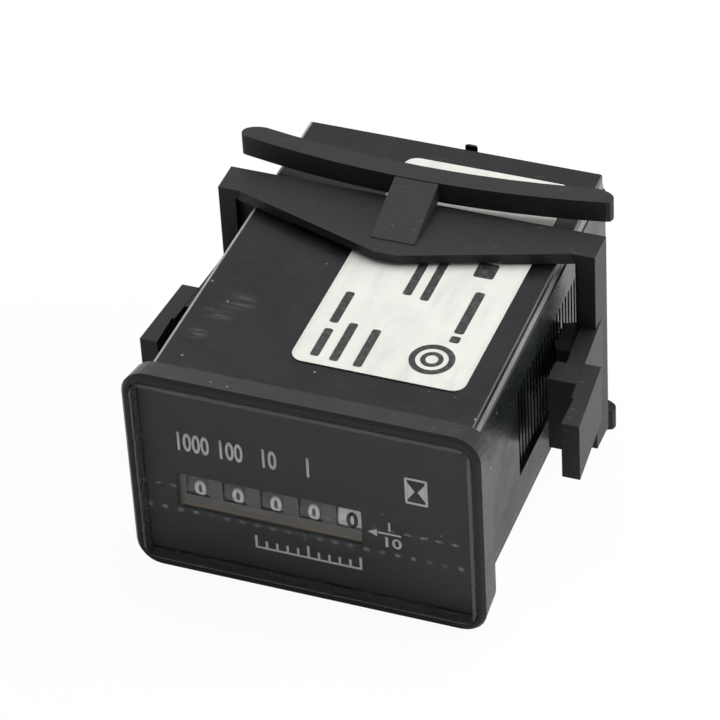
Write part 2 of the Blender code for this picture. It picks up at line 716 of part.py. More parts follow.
def clamp_bow(level):
    low, high = sorted((level * BRIDGE_TOP, level * (BRIDGE_TOP + BOW_RISE)))
    return prism(bow_outline(), "z", low, high)


def clamp_post(level):
    """A strip that slants from the bridge's front up to the bow."""
    sunk = BRIDGE_THICKNESS / 4
    foot = CLAMP_REAR - BRIDGE_POINT + POST_SETBACK
    root = BRIDGE_TOP - sunk
    rear = bow_front(0) + BOW_DEPTH / 2
    outline = [
        (foot, root),
        (foot + sunk, BRIDGE_TOP + sunk / 2),
        (bow_front(0) + sunk / 2, BRIDGE_TOP + BOW_RISE - sunk / 4),
        (rear, BRIDGE_TOP + BOW_RISE - sunk / 4),
        (rear, BRIDGE_TOP + sunk),
        (CLAMP_REAR, BRIDGE_TOP + sunk),
        (foot + BRIDGE_POINT / 2, root),
    ]
    outline = [(y, level * z) for y, z in outline]
    return prism(outline, "x", -POST_WIDTH / 2, POST_WIDTH / 2)


def leg_outer(y):
    """The leg's outer face: it flares from the arm to the foot."""
    return ARM_OUTER + LEG_FLARE * (CLAMP_REAR - y) / (CLAMP_REAR - FOOT_FRONT - FOOT_LENGTH)


def clamp_arm(side):
    """The upright between the bridges; its front is set back along the inner edge."""
    front = CLAMP_REAR - ARM_LENGTH
    step_x = ARM_INNER + ARM_STEP_WIDTH
    step_y = front + ARM_STEP_DEPTH
    outline = [(ARM_INNER, CLAMP_REAR), (ARM_INNER, step_y), (step_x, step_y), (step_x, front),
               (ARM_OUTER, front), (ARM_OUTER, CLAMP_REAR)]
    reach = BRIDGE_TOP - BRIDGE_THICKNESS / 2
    return prism([(side * x, y) for x, y in outline], "z", -reach, reach)


def clamp_leg(side):
    start = CLAMP_REAR - ARM_LENGTH / 4
    end = FOOT_FRONT + CROSSHEAD_SETBACK + CROSSHEAD_LENGTH / 2
    inset = PAWL_GAP / 4
    outline = [
        (ARM_OUTER - inset, start),
        (leg_outer(end) - inset, end),
        (leg_outer(end) - inset - LEG_THICKNESS, end),
        (ARM_OUTER - inset - LEG_THICKNESS, start),
    ]
    return prism([(side * x, y) for x, y in outline], "z", -LEG_HEIGHT / 2, LEG_HEIGHT / 2)


def foot_inner(y):
    """The foot's inner face behind its pad."""
    rear = FOOT_FRONT + FOOT_LENGTH
    share = (rear - y) / (FOOT_LENGTH - FOOT_PAD)
    return leg_outer(rear) - PAWL_GAP + (FOOT_FLARE - FOOT_JOG) * share


def clamp_crosshead(side):
    """A block across the leg, level with the foot's top and deeper below it."""
    front = FOOT_FRONT + CROSSHEAD_SETBACK
    rear = front + CROSSHEAD_LENGTH
    inner = ARM_INNER + PAWL_GAP
    sunk = PAWL_GAP / 2
    outline = [(inner, front), (foot_inner(front) + sunk, front), (foot_inner(rear) + sunk, rear), (inner, rear)]
    top = FOOT_HEIGHT / 2 - CROSSHEAD_STEP
    return prism([(side * x, y) for x, y in outline], "z", -CROSSHEAD_DROP, top)


def clamp_foot(side):
    """The foot's inner face has a small jog where its pad begins."""
    rear = FOOT_FRONT + FOOT_LENGTH
    jog = FOOT_FRONT + FOOT_PAD
    face = foot_inner(rear) + FOOT_FLARE
    outline = [
        (foot_inner(rear), rear),
        (foot_inner(jog), jog),
        (face, jog),
        (face, FOOT_FRONT),
        (face + FOOT_THICKNESS, FOOT_FRONT),
        (foot_inner(rear) + FOOT_THICKNESS, rear),
    ]
    return prism([(side * x, y) for x, y in outline], "z", -FOOT_HEIGHT / 2, FOOT_HEIGHT / 2)


def clamp_pawl(side):
    """Saw teeth that face the ribs; they start where the forward stroke needs them."""
    tip = RIB_CREST + PAWL_GAP
    root = ARM_INNER + ARM_THICKNESS / 3
    first = TRACK_FRONT + FOOT_FRONT - RIB_PITCH / 2
    last = first + PAWL_TEETH * RIB_PITCH
    outline = [(root, first - RIB_PITCH / 2), (tip + 2 * RIB_DEPTH, first - RIB_PITCH / 2)]
    for tooth in range(PAWL_TEETH):
        start = first + tooth * RIB_PITCH
        outline += [(tip + RIB_DEPTH, start), (tip, start + RIB_PITCH)]
    outline += [(tip + RIB_DEPTH, last), (root, last + RIB_PITCH)]
    return prism([(side * x, y) for x, y in outline], "z", -PAWL_HEIGHT / 2, PAWL_HEIGHT / 2)


def make_clamp(finish):
    joined = [clamp_bridge(-1)]
    for side in (-1, 1):
        joined += [clamp_arm(side), clamp_pawl(side), clamp_leg(side), clamp_crosshead(side), clamp_foot(side)]
        joined += [clamp_lip(side, level) for level in (-1, 1)]
    joined += [shape(level) for shape in (clamp_bow, clamp_post) for level in (-1, 1)]
    return add_part("mounting_clamp", combine(clamp_bridge(1), joined), finish)


# Counter

def wheel_gear_phase():
    """Sets the wheel's gear so that it meshes with a transfer pinion at phase zero."""
    return mesh_phase(0.0, PINION_TEETH, PINION_ANGLE + math.pi, WHEEL_TEETH)


def wheel_mesh():
    """A number drum with a gear on its right side and a carry disc with two teeth on its left."""
    face = RIM_FACE / 2
    side = WHEEL_WIDTH / 2
    sunk = CARRY_SIDE / 2
    reach = PINION_DISTANCE - CARRY_MODULE * (PINION_TEETH / 2 + TOOTH_TIP) - CARRY_CLEARANCE
    disc = reach - CARRY_TOOTH
    edge = WHEEL_RADIUS - RIM_BEVEL
    drum = turned("x", [(-face, edge), (RIM_BEVEL - face, WHEEL_RADIUS), (face - RIM_BEVEL, WHEEL_RADIUS), (face, edge)],
                  DRUM_STEPS)
    gear = prism(gear_outline(WHEEL_TEETH, CARRY_MODULE, wheel_gear_phase()), "x", face - sunk, side)
    carry = rod("x", disc, -side, sunk - face, ROUND_STEPS)
    half_tooth = math.pi / WHEEL_TEETH / 2
    teeth = []
    for turn in (-1, 1):
        middle = turn * math.pi / WHEEL_TEETH
        corners = ((disc / 2, -half_tooth), (reach, -half_tooth / 2), (reach, half_tooth / 2), (disc / 2, half_tooth))
        outline = [(radius * math.cos(middle + t), radius * math.sin(middle + t)) for radius, t in corners]
        teeth.append(prism(outline, "x", sunk / 2 - side, sunk - face))
    bore = rod("x", SHAFT_RADIUS + SHAFT_CLEARANCE, -WHEEL_WIDTH, WHEEL_WIDTH, SMALL_STEPS)
    return combine(drum, [gear, carry, *teeth], [bore])


def wheel_x(place):
    """Wheel 0 is the tenths wheel, at the right."""
    return LAST_WHEEL_X - place * WHEEL_PITCH


def make_wheels(black, white):
    names = ("wheel_tenths", "wheel_units", "wheel_tens", "wheel_hundreds", "wheel_thousands")
    shared = wheel_mesh()
    for place, name in enumerate(names):
        finish = white if place == 0 else black
        add_part(name, shared.copy(), finish, (wheel_x(place), WHEEL_Y, WHEEL_Z), smooth=True)
    bpy.data.meshes.remove(shared)


def make_transfer_pinions(finish):
    for place in range(1, WHEEL_COUNT):
        middle = (wheel_x(place) + wheel_x(place - 1)) / 2
        gear = prism(gear_outline(PINION_TEETH, CARRY_MODULE), "x", -PINION_WIDTH / 2, PINION_WIDTH / 2)
        bore = rod("x", PINION_SHAFT_RADIUS + SHAFT_CLEARANCE, -PINION_WIDTH, PINION_WIDTH, SMALL_STEPS)
        add_part(f"transfer_pinion_{place}", combine(gear, cut=[bore]), finish, (middle, PINION_Y, PINION_Z))


def make_shaft(name, radius, y, z, finish):
    """A plain shaft whose ends sit in the frame's two side plates."""
    start = LEFT_PLATE - PLATE_THICKNESS + SHAFT_INSET
    end = RIGHT_PLATE + PLATE_THICKNESS - SHAFT_INSET
    tip = radius / 2
    profile = [(start, radius - tip / 2), (start + tip, radius), (end - tip, radius), (end, radius - tip / 2)]
    return add_part(name, as_mesh(turned("x", profile, SMALL_STEPS)), finish, (0, y, z), smooth=True)


# Gear train and motor

def pillar_places():
    """Two pillars behind the dial and one above the motor, as (depth, height)."""
    front = DIAL_REAR + PILLAR_FRONT
    height = INNER_Z - PILLAR_INSET
    return ((front, height), (front, -height), (ROTOR_Y + PILLAR_REAR, height))


def arbor_places():
    return ((SECOND_Y, SECOND_Z), (FIRST_Y, FIRST_Z), (ROTOR_Y, ROTOR_Z))


def side_outline(rear, low, top):
    """Outline of a side plate in depth and height, with its top front corner cut off."""
    front = DIAL_REAR + FRAME_GAP
    return [(front, low), (rear, low), (rear, top), (front + FRAME_CHAMFER, top), (front, top - FRAME_CHAMFER)]


def make_counter_frame(finish):
    """Two side plates on a floor plate and a cross wall; the right plate also carries the gears."""
    low = -INNER_Z + TOP_DRAFT + FRAME_GAP
    wall = WHEEL_Y + WHEEL_RADIUS + FRAME_GAP
    left_top = WHEEL_Z + LEFT_PLATE_RISE
    right_rear = ROTOR_Y + RIGHT_PLATE_REACH
    right_top = INNER_Z - TOP_DRAFT - PLATE_TOP_GAP
    sunk = PLATE_THICKNESS / 2
    left = prism(side_outline(wall + PLATE_THICKNESS, low, left_top), "x", LEFT_PLATE - PLATE_THICKNESS, LEFT_PLATE)
    right = prism(side_outline(right_rear, low, right_top), "x", RIGHT_PLATE, RIGHT_PLATE + PLATE_THICKNESS)
    cross = block(LEFT_PLATE - sunk, RIGHT_PLATE + sunk, wall, wall + 0.9 * PLATE_THICKNESS, low + sunk, left_top - sunk)
    floor = block(LEFT_PLATE - sunk, RIGHT_PLATE + sunk, wall - 2 * sunk, right_rear - sunk, low + sunk / 4,
                  low + PLATE_THICKNESS)
    joined = [right, cross, floor]
    joined += [rod("x", PILLAR_RADIUS, RIGHT_PLATE + sunk, COVER_PLATE - PART_GAP, SMALL_STEPS, place)
               for place in pillar_places()]
    both = (LEFT_PLATE - 2 * PLATE_THICKNESS, RIGHT_PLATE + 2 * PLATE_THICKNESS)
    one = (RIGHT_PLATE - PLATE_THICKNESS, RIGHT_PLATE + 2 * PLATE_THICKNESS)
    pinion_space = CARRY_MODULE * (DRIVE_TEETH / 2 + TOOTH_TIP) + FRAME_GAP
    drive_start = LAST_WHEEL_X + RIM_FACE / 2 - FRAME_GAP
    cuts = [
        rod("x", SHAFT_RADIUS + SHAFT_CLEARANCE, *both, SMALL_STEPS, (WHEEL_Y, WHEEL_Z)),
        rod("x", PINION_SHAFT_RADIUS + SHAFT_CLEARANCE, *both, SMALL_STEPS, (PINION_Y, PINION_Z)),
        rod("x", pinion_space, drive_start, RIGHT_PLATE, ROUND_STEPS, (SECOND_Y, SECOND_Z)),
    ]
    cuts += [rod("x", ARBOR_RADIUS + SHAFT_CLEARANCE, *one, SMALL_STEPS, place) for place in arbor_places()]
    cuts += [rod("x", SCREW_RADIUS + SHAFT_CLEARANCE, COVER_PLATE - SCREW_LENGTH, COVER_PLATE, SMALL_STEPS, place)
             for place in pillar_places()]
    return add_part("counter_frame", combine(left, joined, cuts), finish)


def make_gear_cover(finish):
    """The outer plate of the movement, screwed to the three pillars."""
    margin = PILLAR_RADIUS + COVER_MARGIN
    (front_y, top_z), (_, low_z), (rear_y, _) = pillar_places()
    outline = [
        (front_y - margin, low_z - margin),
        (SECOND_Y + margin, low_z - margin),
        (rear_y + margin, ROTOR_Z - margin),
        (rear_y + margin, top_z + margin),
        (front_y - margin, top_z + margin),
    ]
    plate = prism(outline, "x", COVER_PLATE, COVER_PLATE + PLATE_THICKNESS)
    span = (COVER_PLATE - PLATE_THICKNESS, COVER_PLATE + 2 * PLATE_THICKNESS)
    cuts = [rod("x", ARBOR_RADIUS + SHAFT_CLEARANCE, *span, SMALL_STEPS, place) for place in arbor_places()]
    cuts += [rod("x", SCREW_RADIUS + SHAFT_CLEARANCE, *span, SMALL_STEPS, place) for place in pillar_places()]
    return add_part("gear_cover", combine(plate, cut=cuts), finish)


def make_movement_screws(finish):
    """Cheese-head screws with a driver slot, each through the cover into its pillar."""
    seat = COVER_PLATE + PLATE_THICKNESS + SHAFT_CLEARANCE
    top = seat + SCREW_HEAD_HEIGHT
    waist = seat + SCREW_HEAD_HEIGHT / 2
    end = COVER_PLATE - SCREW_LENGTH + SCREW_END_GAP
    for number, (y, z) in enumerate(pillar_places(), start=1):
        head = turned("x", [(seat, SCREW_HEAD_RADIUS), (waist, SCREW_HEAD_RADIUS), (top, SCREW_CROWN_RADIUS)],
                      SMALL_STEPS)
        shank = rod("x", SCREW_RADIUS, end, waist, SMALL_STEPS)
        slot = block(waist, top + SCREW_HEAD_HEIGHT, -2 * SCREW_HEAD_RADIUS, 2 * SCREW_HEAD_RADIUS,
                     -SCREW_SLOT / 2, SCREW_SLOT / 2)
        add_part(f"movement_screw_{number}", combine(head, [shank], [slot]), finish, (0, y, z), smooth=True)


def arbor(start):
    return rod("x", ARBOR_RADIUS, start, COVER_PLATE + PLATE_THICKNESS - SHAFT_INSET, SMALL_STEPS)


def spur(teeth, module, phase, start, width):
    return prism(gear_outline(teeth, module, phase), "x", start, start + width)


def make_reduction_gears(finish):
    """Each gear turns with its small pinion on one arbor between the plates."""
    long_pinion = GEAR_WIDTH + GEAR_SPACE / 2
    plate_side = RIGHT_PLATE + SHAFT_CLEARANCE
    drive_phase = mesh_phase(wheel_gear_phase(), WHEEL_TEETH, SECOND_ANGLE, DRIVE_TEETH)
    drive_x = LAST_WHEEL_X + RIM_FACE / 2 + CARRY_CLEARANCE
    drive_width = CARRY_SIDE - CARRY_CLEARANCE
    second = combine(arbor(drive_x), [
        spur(DRIVE_TEETH, CARRY_MODULE, drive_phase, drive_x, drive_width),
        spur(GEAR_TEETH, SECOND_MODULE, 0.0, SECOND_GEAR_X, GEAR_WIDTH),
    ])
    add_part("reduction_gear_2", second, finish, (0, SECOND_Y, SECOND_Z))
    small_phase = mesh_phase(0.0, GEAR_TEETH, FIRST_ANGLE, SMALL_TEETH)
    first = combine(arbor(plate_side), [
        spur(SMALL_TEETH, SECOND_MODULE, small_phase, SECOND_GEAR_X, long_pinion),
        spur(GEAR_TEETH, FIRST_MODULE, 0.0, FIRST_GEAR_X, GEAR_WIDTH),
    ])
    add_part("reduction_gear_1", first, finish, (0, FIRST_Y, FIRST_Z))


def make_rotor(finish):
    """A round magnet and its pinion on one arbor."""
    end = MAGNET_X + MAGNET_LENGTH
    edge = MAGNET_RADIUS - MAGNET_BEVEL
    magnet = turned("x", [(MAGNET_X, edge), (MAGNET_X + MAGNET_BEVEL, MAGNET_RADIUS),
                          (end - MAGNET_BEVEL, MAGNET_RADIUS), (end, edge)], ROUND_STEPS)
    phase = mesh_phase(0.0, GEAR_TEETH, ROTOR_ANGLE, SMALL_TEETH)
    pinion = spur(SMALL_TEETH, FIRST_MODULE, phase, FIRST_GEAR_X, GEAR_WIDTH + GEAR_SPACE / 2)
    rotor = combine(arbor(RIGHT_PLATE + SHAFT_CLEARANCE), [magnet, pinion])
    add_part("motor_rotor", rotor, finish, (0, ROTOR_Y, ROTOR_Z))


def stator_places():
    """Front, rear, low and high edge of the stator."""
    front = ROTOR_Y - STATOR_HEAD / 2
    rear = BOARD_FRONT - BOARD_TO_COIL - BOBBIN_RADIUS + STATOR_CORE / 2
    middle = ROTOR_Z - STATOR_ARM / 2
    return front, rear, middle - STATOR_HEIGHT / 2, middle + STATOR_HEIGHT / 2


def make_stator(finish):
    """A flat frame: the head surrounds the rotor, a necked ear sits on a pillar, the rear bar is the core."""
    front, rear, low, high = stator_places()
    plate = prism(rectangle(front, rear, low, high), "x", STATOR_X, STATOR_X + STATOR_THICKNESS)
    y, z = pillar_places()[2]
    seat = PILLAR_RADIUS + PART_GAP
    ear = rod("x", seat + STATOR_EAR, STATOR_X, STATOR_X + STATOR_THICKNESS, ROUND_STEPS, (y, z))
    neck_low, neck_high = sorted((high - STATOR_ARM / 2, z))
    neck_rear = y + STATOR_NECK / 2
    neck = block(STATOR_X, STATOR_X + STATOR_THICKNESS, y - STATOR_NECK / 2, neck_rear, neck_low, neck_high)
    span = (STATOR_X - STATOR_THICKNESS, STATOR_X + 2 * STATOR_THICKNESS)
    cuts = [
        block(*span, front + STATOR_HEAD, rear - STATOR_CORE, low + STATOR_ARM, high - STATOR_ARM),
        rod("x", MAGNET_RADIUS + STATOR_GAP, *span, ROUND_STEPS, (ROTOR_Y, ROTOR_Z)),
        rod("x", seat, *span, SMALL_STEPS, (y, z)),
    ]
    add_part("motor_stator", combine(plate, [ear, neck], cuts), finish)


def make_coil(bobbin_finish, copper):
    """The bobbin's square tube fits over the core, and the winding fills it between its flanges."""
    _, rear, low, high = stator_places()
    middle_y = rear - STATOR_CORE / 2
    middle_x = STATOR_X + STATOR_THICKNESS / 2
    bottom = low + STATOR_ARM + PART_GAP
    top = high - STATOR_ARM - PART_GAP
    centre = (middle_x, middle_y)
    tube = STATOR_CORE / 2 + CORE_GAP + BOBBIN_WALL
    spool = prism(rounded_rectangle(tube, tube, BOBBIN_WALL, centre, EDGE_STEPS), "z", bottom, top)
    ends = [rod("z", BOBBIN_RADIUS, bottom, bottom + BOBBIN_FLANGE, ROUND_STEPS, centre),
            rod("z", BOBBIN_RADIUS, top - BOBBIN_FLANGE, top, ROUND_STEPS, centre)]
    half_x = STATOR_THICKNESS / 2 + CORE_GAP
    half_y = STATOR_CORE / 2 + CORE_GAP
    core = block(middle_x - half_x, middle_x + half_x, middle_y - half_y, middle_y + half_y,
                 bottom - BOBBIN_FLANGE, top + BOBBIN_FLANGE)
    add_part("coil_bobbin", combine(spool, ends, [core]), bobbin_finish)
    inner = tube + WINDING_GAP
    wound = rod("z", COIL_RADIUS, bottom + BOBBIN_FLANGE + WINDING_GAP, top - BOBBIN_FLANGE - WINDING_GAP,
                ROUND_STEPS, centre)
    opening = prism(rounded_rectangle(inner, inner, BOBBIN_WALL, centre, EDGE_STEPS), "z", bottom, top)
    add_part("coil_winding", combine(wound, cut=[opening]), copper, smooth=True)


# Circuit board

def make_board(finish):
    outline = rounded_rectangle(BOARD_HALF_WIDTH, BOARD_HALF_HEIGHT, BOARD_CORNER, steps=EDGE_STEPS)
    add_part("circuit_board", as_mesh(prism(outline, "y", BOARD_FRONT, BOARD_REAR)), finish)


def make_timer_chip(finish):
    width, depth, height = CHIP_SIZE
    x = CHIP_X
    z = -BOARD_HALF_HEIGHT + CHIP_INSET
    chip = block(x - width / 2, x + width / 2, BOARD_SEAT - depth, BOARD_SEAT, z - height / 2, z + height / 2)
    pin_one = rod("y", CHIP_DIMPLE, BOARD_SEAT - depth - CHIP_DIMPLE, BOARD_SEAT - depth + CHIP_DIMPLE / 2,
                  SMALL_STEPS, (x - width / 3, z - height / 3))
    add_part("timer_chip", combine(chip, cut=[pin_one]), finish)


def make_capacitor(finish):
    """An aluminium can in its sleeve, with the crimped groove near its foot."""
    place = (CAPACITOR_X, 0.0)
    end = BOARD_SEAT - CAPACITOR_LENGTH
    groove = CAPACITOR_RADIUS - CAPACITOR_CRIMP
    waist = BOARD_SEAT - 3 * CAPACITOR_CRIMP
    can = turned("y", [(end, groove), (end + CAPACITOR_CRIMP, CAPACITOR_RADIUS),
                       (waist - CAPACITOR_CRIMP, CAPACITOR_RADIUS), (waist, groove),
                       (waist + CAPACITOR_CRIMP, CAPACITOR_RADIUS), (BOARD_SEAT, CAPACITOR_RADIUS)],
                 ROUND_STEPS, place)
    add_part("capacitor", as_mesh(can), finish, smooth=True)


def make_round_part(name, axis, radius, start, length, centre, finish):
    """A small round body with eased ends."""
    ease = radius / 4
    end = start + length
    body = turned(axis, [(start, radius - ease), (start + ease, radius), (end - ease, radius), (end, radius - ease)],
                  SMALL_STEPS, centre)
    add_part(name, as_mesh(body), finish, smooth=True)


def build():
    clear_scene()
    gloss_black = material("gloss_black", (0.02, 0.021, 0.021), 0.22)
    matte_black = material("matte_black", (0.028, 0.031, 0.03), 0.55)
    clear = material("clear_lens", (0.9, 0.92, 0.92), 0.05, alpha=0.3)
    dial_black = material("dial_black", (0.015, 0.015, 0.016), 0.5)
    paper = material("label_white", (0.8, 0.79, 0.74), 0.6)
    wheel_black = material("wheel_black", (0.02, 0.02, 0.02), 0.45)
    wheel_white = material("wheel_white", (0.8, 0.8, 0.76), 0.45)
    gear_plastic = material("gear_plastic", (0.75, 0.7, 0.6), 0.5)
    frame_plastic = material("frame_plastic", (0.16, 0.1, 0.06), 0.5)
    brass = material("brass", (0.7, 0.5, 0.22), 0.3, 1.0)
    steel = material("steel", (0.55, 0.55, 0.56), 0.3, 1.0)
    copper = material("copper_wire", (0.6, 0.25, 0.1), 0.35, 1.0)
    board = material("board_green", (0.05, 0.2, 0.08), 0.45)
    chip = material("chip_black", (0.02, 0.02, 0.02), 0.5)
    sleeve = material("capacitor_sleeve", (0.04, 0.05, 0.12), 0.4)
    resistor_body = material("resistor_tan", (0.5, 0.38, 0.25), 0.5)
    diode_body = material("diode_black", (0.03, 0.03, 0.03), 0.4)

    make_case(gloss_black)
    make_lens(clear)
    make_dial(dial_black)
    make_label(paper)
    make_back_cover(gloss_black)
    make_terminal("terminal_positive", 1, brass)
    make_terminal("terminal_negative", -1, brass)
    make_clamp(matte_black)
    make_wheels(wheel_black, wheel_white)
    make_transfer_pinions(gear_plastic)
    make_shaft("wheel_shaft", SHAFT_RADIUS, WHEEL_Y, WHEEL_Z, steel)
    make_shaft("pinion_shaft", PINION_SHAFT_RADIUS, PINION_Y, PINION_Z, brass)
    make_counter_frame(frame_plastic)
    make_gear_cover(frame_plastic)
    make_movement_screws(steel)
    make_reduction_gears(gear_plastic)
    make_rotor(steel)
    make_stator(steel)
    make_coil(frame_plastic, copper)
    make_board(board)
    make_timer_chip(chip)
    make_capacitor(sleeve)
    make_round_part("quartz_crystal", "z", CRYSTAL_RADIUS, -CRYSTAL_LENGTH / 2, CRYSTAL_LENGTH,
                    (CRYSTAL_X, BOARD_SEAT - CRYSTAL_RADIUS), steel)
    axial_y = BOARD_SEAT - AXIAL_RADIUS
    make_round_part("resistor", "x", AXIAL_RADIUS, CHIP_X - AXIAL_LENGTH / 2, AXIAL_LENGTH,
                    (axial_y, RESISTOR_RISE), resistor_body)
    make_round_part("diode", "x", AXIAL_RADIUS, CHIP_X - AXIAL_LENGTH / 2, AXIAL_LENGTH,
                    (axial_y, DIODE_RISE), diode_body)


build()
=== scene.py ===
import math

import bpy
from mathutils import Matrix, Vector


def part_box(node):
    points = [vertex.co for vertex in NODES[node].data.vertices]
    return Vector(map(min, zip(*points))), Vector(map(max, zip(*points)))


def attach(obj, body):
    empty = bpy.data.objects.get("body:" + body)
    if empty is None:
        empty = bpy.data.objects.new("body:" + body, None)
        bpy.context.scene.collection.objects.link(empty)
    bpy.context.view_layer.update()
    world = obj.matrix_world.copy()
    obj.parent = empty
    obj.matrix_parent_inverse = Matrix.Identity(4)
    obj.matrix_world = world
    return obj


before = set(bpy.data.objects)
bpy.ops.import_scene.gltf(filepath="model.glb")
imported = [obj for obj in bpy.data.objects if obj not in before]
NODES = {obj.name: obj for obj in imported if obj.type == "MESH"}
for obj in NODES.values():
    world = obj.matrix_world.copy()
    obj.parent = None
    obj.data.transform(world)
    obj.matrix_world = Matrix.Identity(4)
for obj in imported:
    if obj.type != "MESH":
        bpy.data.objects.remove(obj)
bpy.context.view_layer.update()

bpy.context.scene.view_settings.view_transform = "Standard"

MM = 0.001

# Places that the printed marks share with the solids, in millimetres
CASE_LOW, CASE_HIGH = (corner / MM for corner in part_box("case"))
LENS_LOW, LENS_HIGH = (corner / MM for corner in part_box("lens"))
DIAL_LOW, DIAL_HIGH = (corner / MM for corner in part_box("dial_plate"))
LABEL_LOW, LABEL_HIGH = (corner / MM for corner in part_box("label"))
COVER_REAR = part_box("back_cover")[1].y / MM
WHEELS = ("wheel_thousands", "wheel_hundreds", "wheel_tens", "wheel_units", "wheel_tenths")
WHEEL_LOW, WHEEL_HIGH = (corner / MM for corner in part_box("wheel_units"))
DRUM_RADIUS = (WHEEL_HIGH.z - WHEEL_LOW.z) / 2
DRUM_Y = (WHEEL_HIGH.y + WHEEL_LOW.y) / 2
DRUM_Z = (WHEEL_HIGH.z + WHEEL_LOW.z) / 2

# The case: its flange is this thick, and its sides and top lean in a little towards the rear
FLANGE_THICK = 3.5
PANEL = CASE_LOW.y + FLANGE_THICK
CASE_SIDE = 18.4
CASE_LONG = 46.5
SIDE_LEAN = 0.6
TOP_LEAN = 0.15
FLANGE_RISE = 1.45
CASE_TOP = CASE_HIGH.z - FLANGE_RISE
LABEL_START = 5.3

# The viewpoint: turned round the meter, raised and rolled, in degrees
VIEW_TURN, VIEW_RISE, VIEW_ROLL = 22.58, 39.30, -3.42
VIEW_AIM = Vector((6.09, PANEL, 18.61))
VIEW_AWAY = 436.5
VIEW_LENS, VIEW_SENSOR = 210.4, 36

# The slope of the floor, in degrees, on which the flange and the lower bow both rest
FLOOR_SLOPE = -4.24
FLOOR_SIDE = 6
FLOOR_SEEN, FLOOR_MIRRORED = 0.95, 0.2

# How bright the room is on the meter, and how bright it looks
ROOM_LIGHT, ROOM_SEEN = 0.28, 1.0

# Printed marks stand this far off what carries them, and are this thick
CLEAR = 0.004
DIAL_CLEAR = 0.003
PRINT = 0.05
LABEL_PRINT = 0.02
DIGIT_STEP = math.pi / 5
DIGIT_TURN = 0.058
PAST_MIDDLE = 0.3


# Camera, floor and light

def place_camera():
    """The photograph's viewpoint, with its slight roll."""
    azimuth, elevation, roll = (math.radians(angle) for angle in (VIEW_TURN, VIEW_RISE, VIEW_ROLL))
    aim = VIEW_AIM * MM
    toward = Vector((-math.sin(azimuth) * math.cos(elevation),
                     math.cos(azimuth) * math.cos(elevation),
                     -math.sin(elevation)))
    right = toward.cross(Vector((0, 0, 1))).normalized()
    down = toward.cross(right)
    turned_right = math.cos(roll) * right - math.sin(roll) * down
    turned_down = math.sin(roll) * right + math.cos(roll) * down
    place = aim - toward * VIEW_AWAY * MM
    lens = bpy.data.cameras.new("viewpoint")
    lens.lens = VIEW_LENS
    lens.sensor_width = VIEW_SENSOR
    lens.clip_start = 0.01
    lens.clip_end = 20
    camera = bpy.data.objects.new("viewpoint", lens)
    bpy.context.scene.collection.objects.link(camera)
    axes = Matrix((turned_right, -turned_down, -toward)).transposed()
    camera.matrix_world = Matrix.Translation(place) @ axes.to_4x4()
    bpy.context.scene.camera = camera


def soft_lamp(name, direction, distance, width, height, power):
    """A soft box that faces the meter."""
    light = bpy.data.lights.new(name, "AREA")
    light.shape = "RECTANGLE"
    light.size = width
    light.size_y = height
    light.energy = power
    lamp = bpy.data.objects.new(name, light)
    bpy.context.scene.collection.objects.link(lamp)
    way = Vector(direction).normalized()
    lamp.location = way * distance
    lamp.rotation_mode = "QUATERNION"
    lamp.rotation_quaternion = way.to_track_quat("Z", "Y")


# Finishes

class Value:
    """What comes out of a node; sums of these add the nodes that work them out."""

    def __init__(self, finish, socket):
        self.finish = finish
        self.socket = socket

    def sum(self, operation, *others):
        return self.finish.maths(operation, self, *others)

    def __add__(self, other):
        return self.sum("ADD", other)

    def __mul__(self, other):
        return self.sum("MULTIPLY", other)

    def __sub__(self, other):
        return self.sum("SUBTRACT", other)

    def __truediv__(self, other):
        return self.sum("DIVIDE", other)

    def __rsub__(self, other):
        return self.finish.maths("SUBTRACT", other, self)

    __radd__ = __add__
    __rmul__ = __mul__

    def size(self):
        return self.sum("ABSOLUTE")

    def above(self, edge, soft=0.02):
        """1 above the edge and 0 below it."""
        return self.finish.step(self, edge - soft, edge + soft)

    def below(self, edge, soft=0.02):
        return self.finish.step(self, edge + soft, edge - soft)


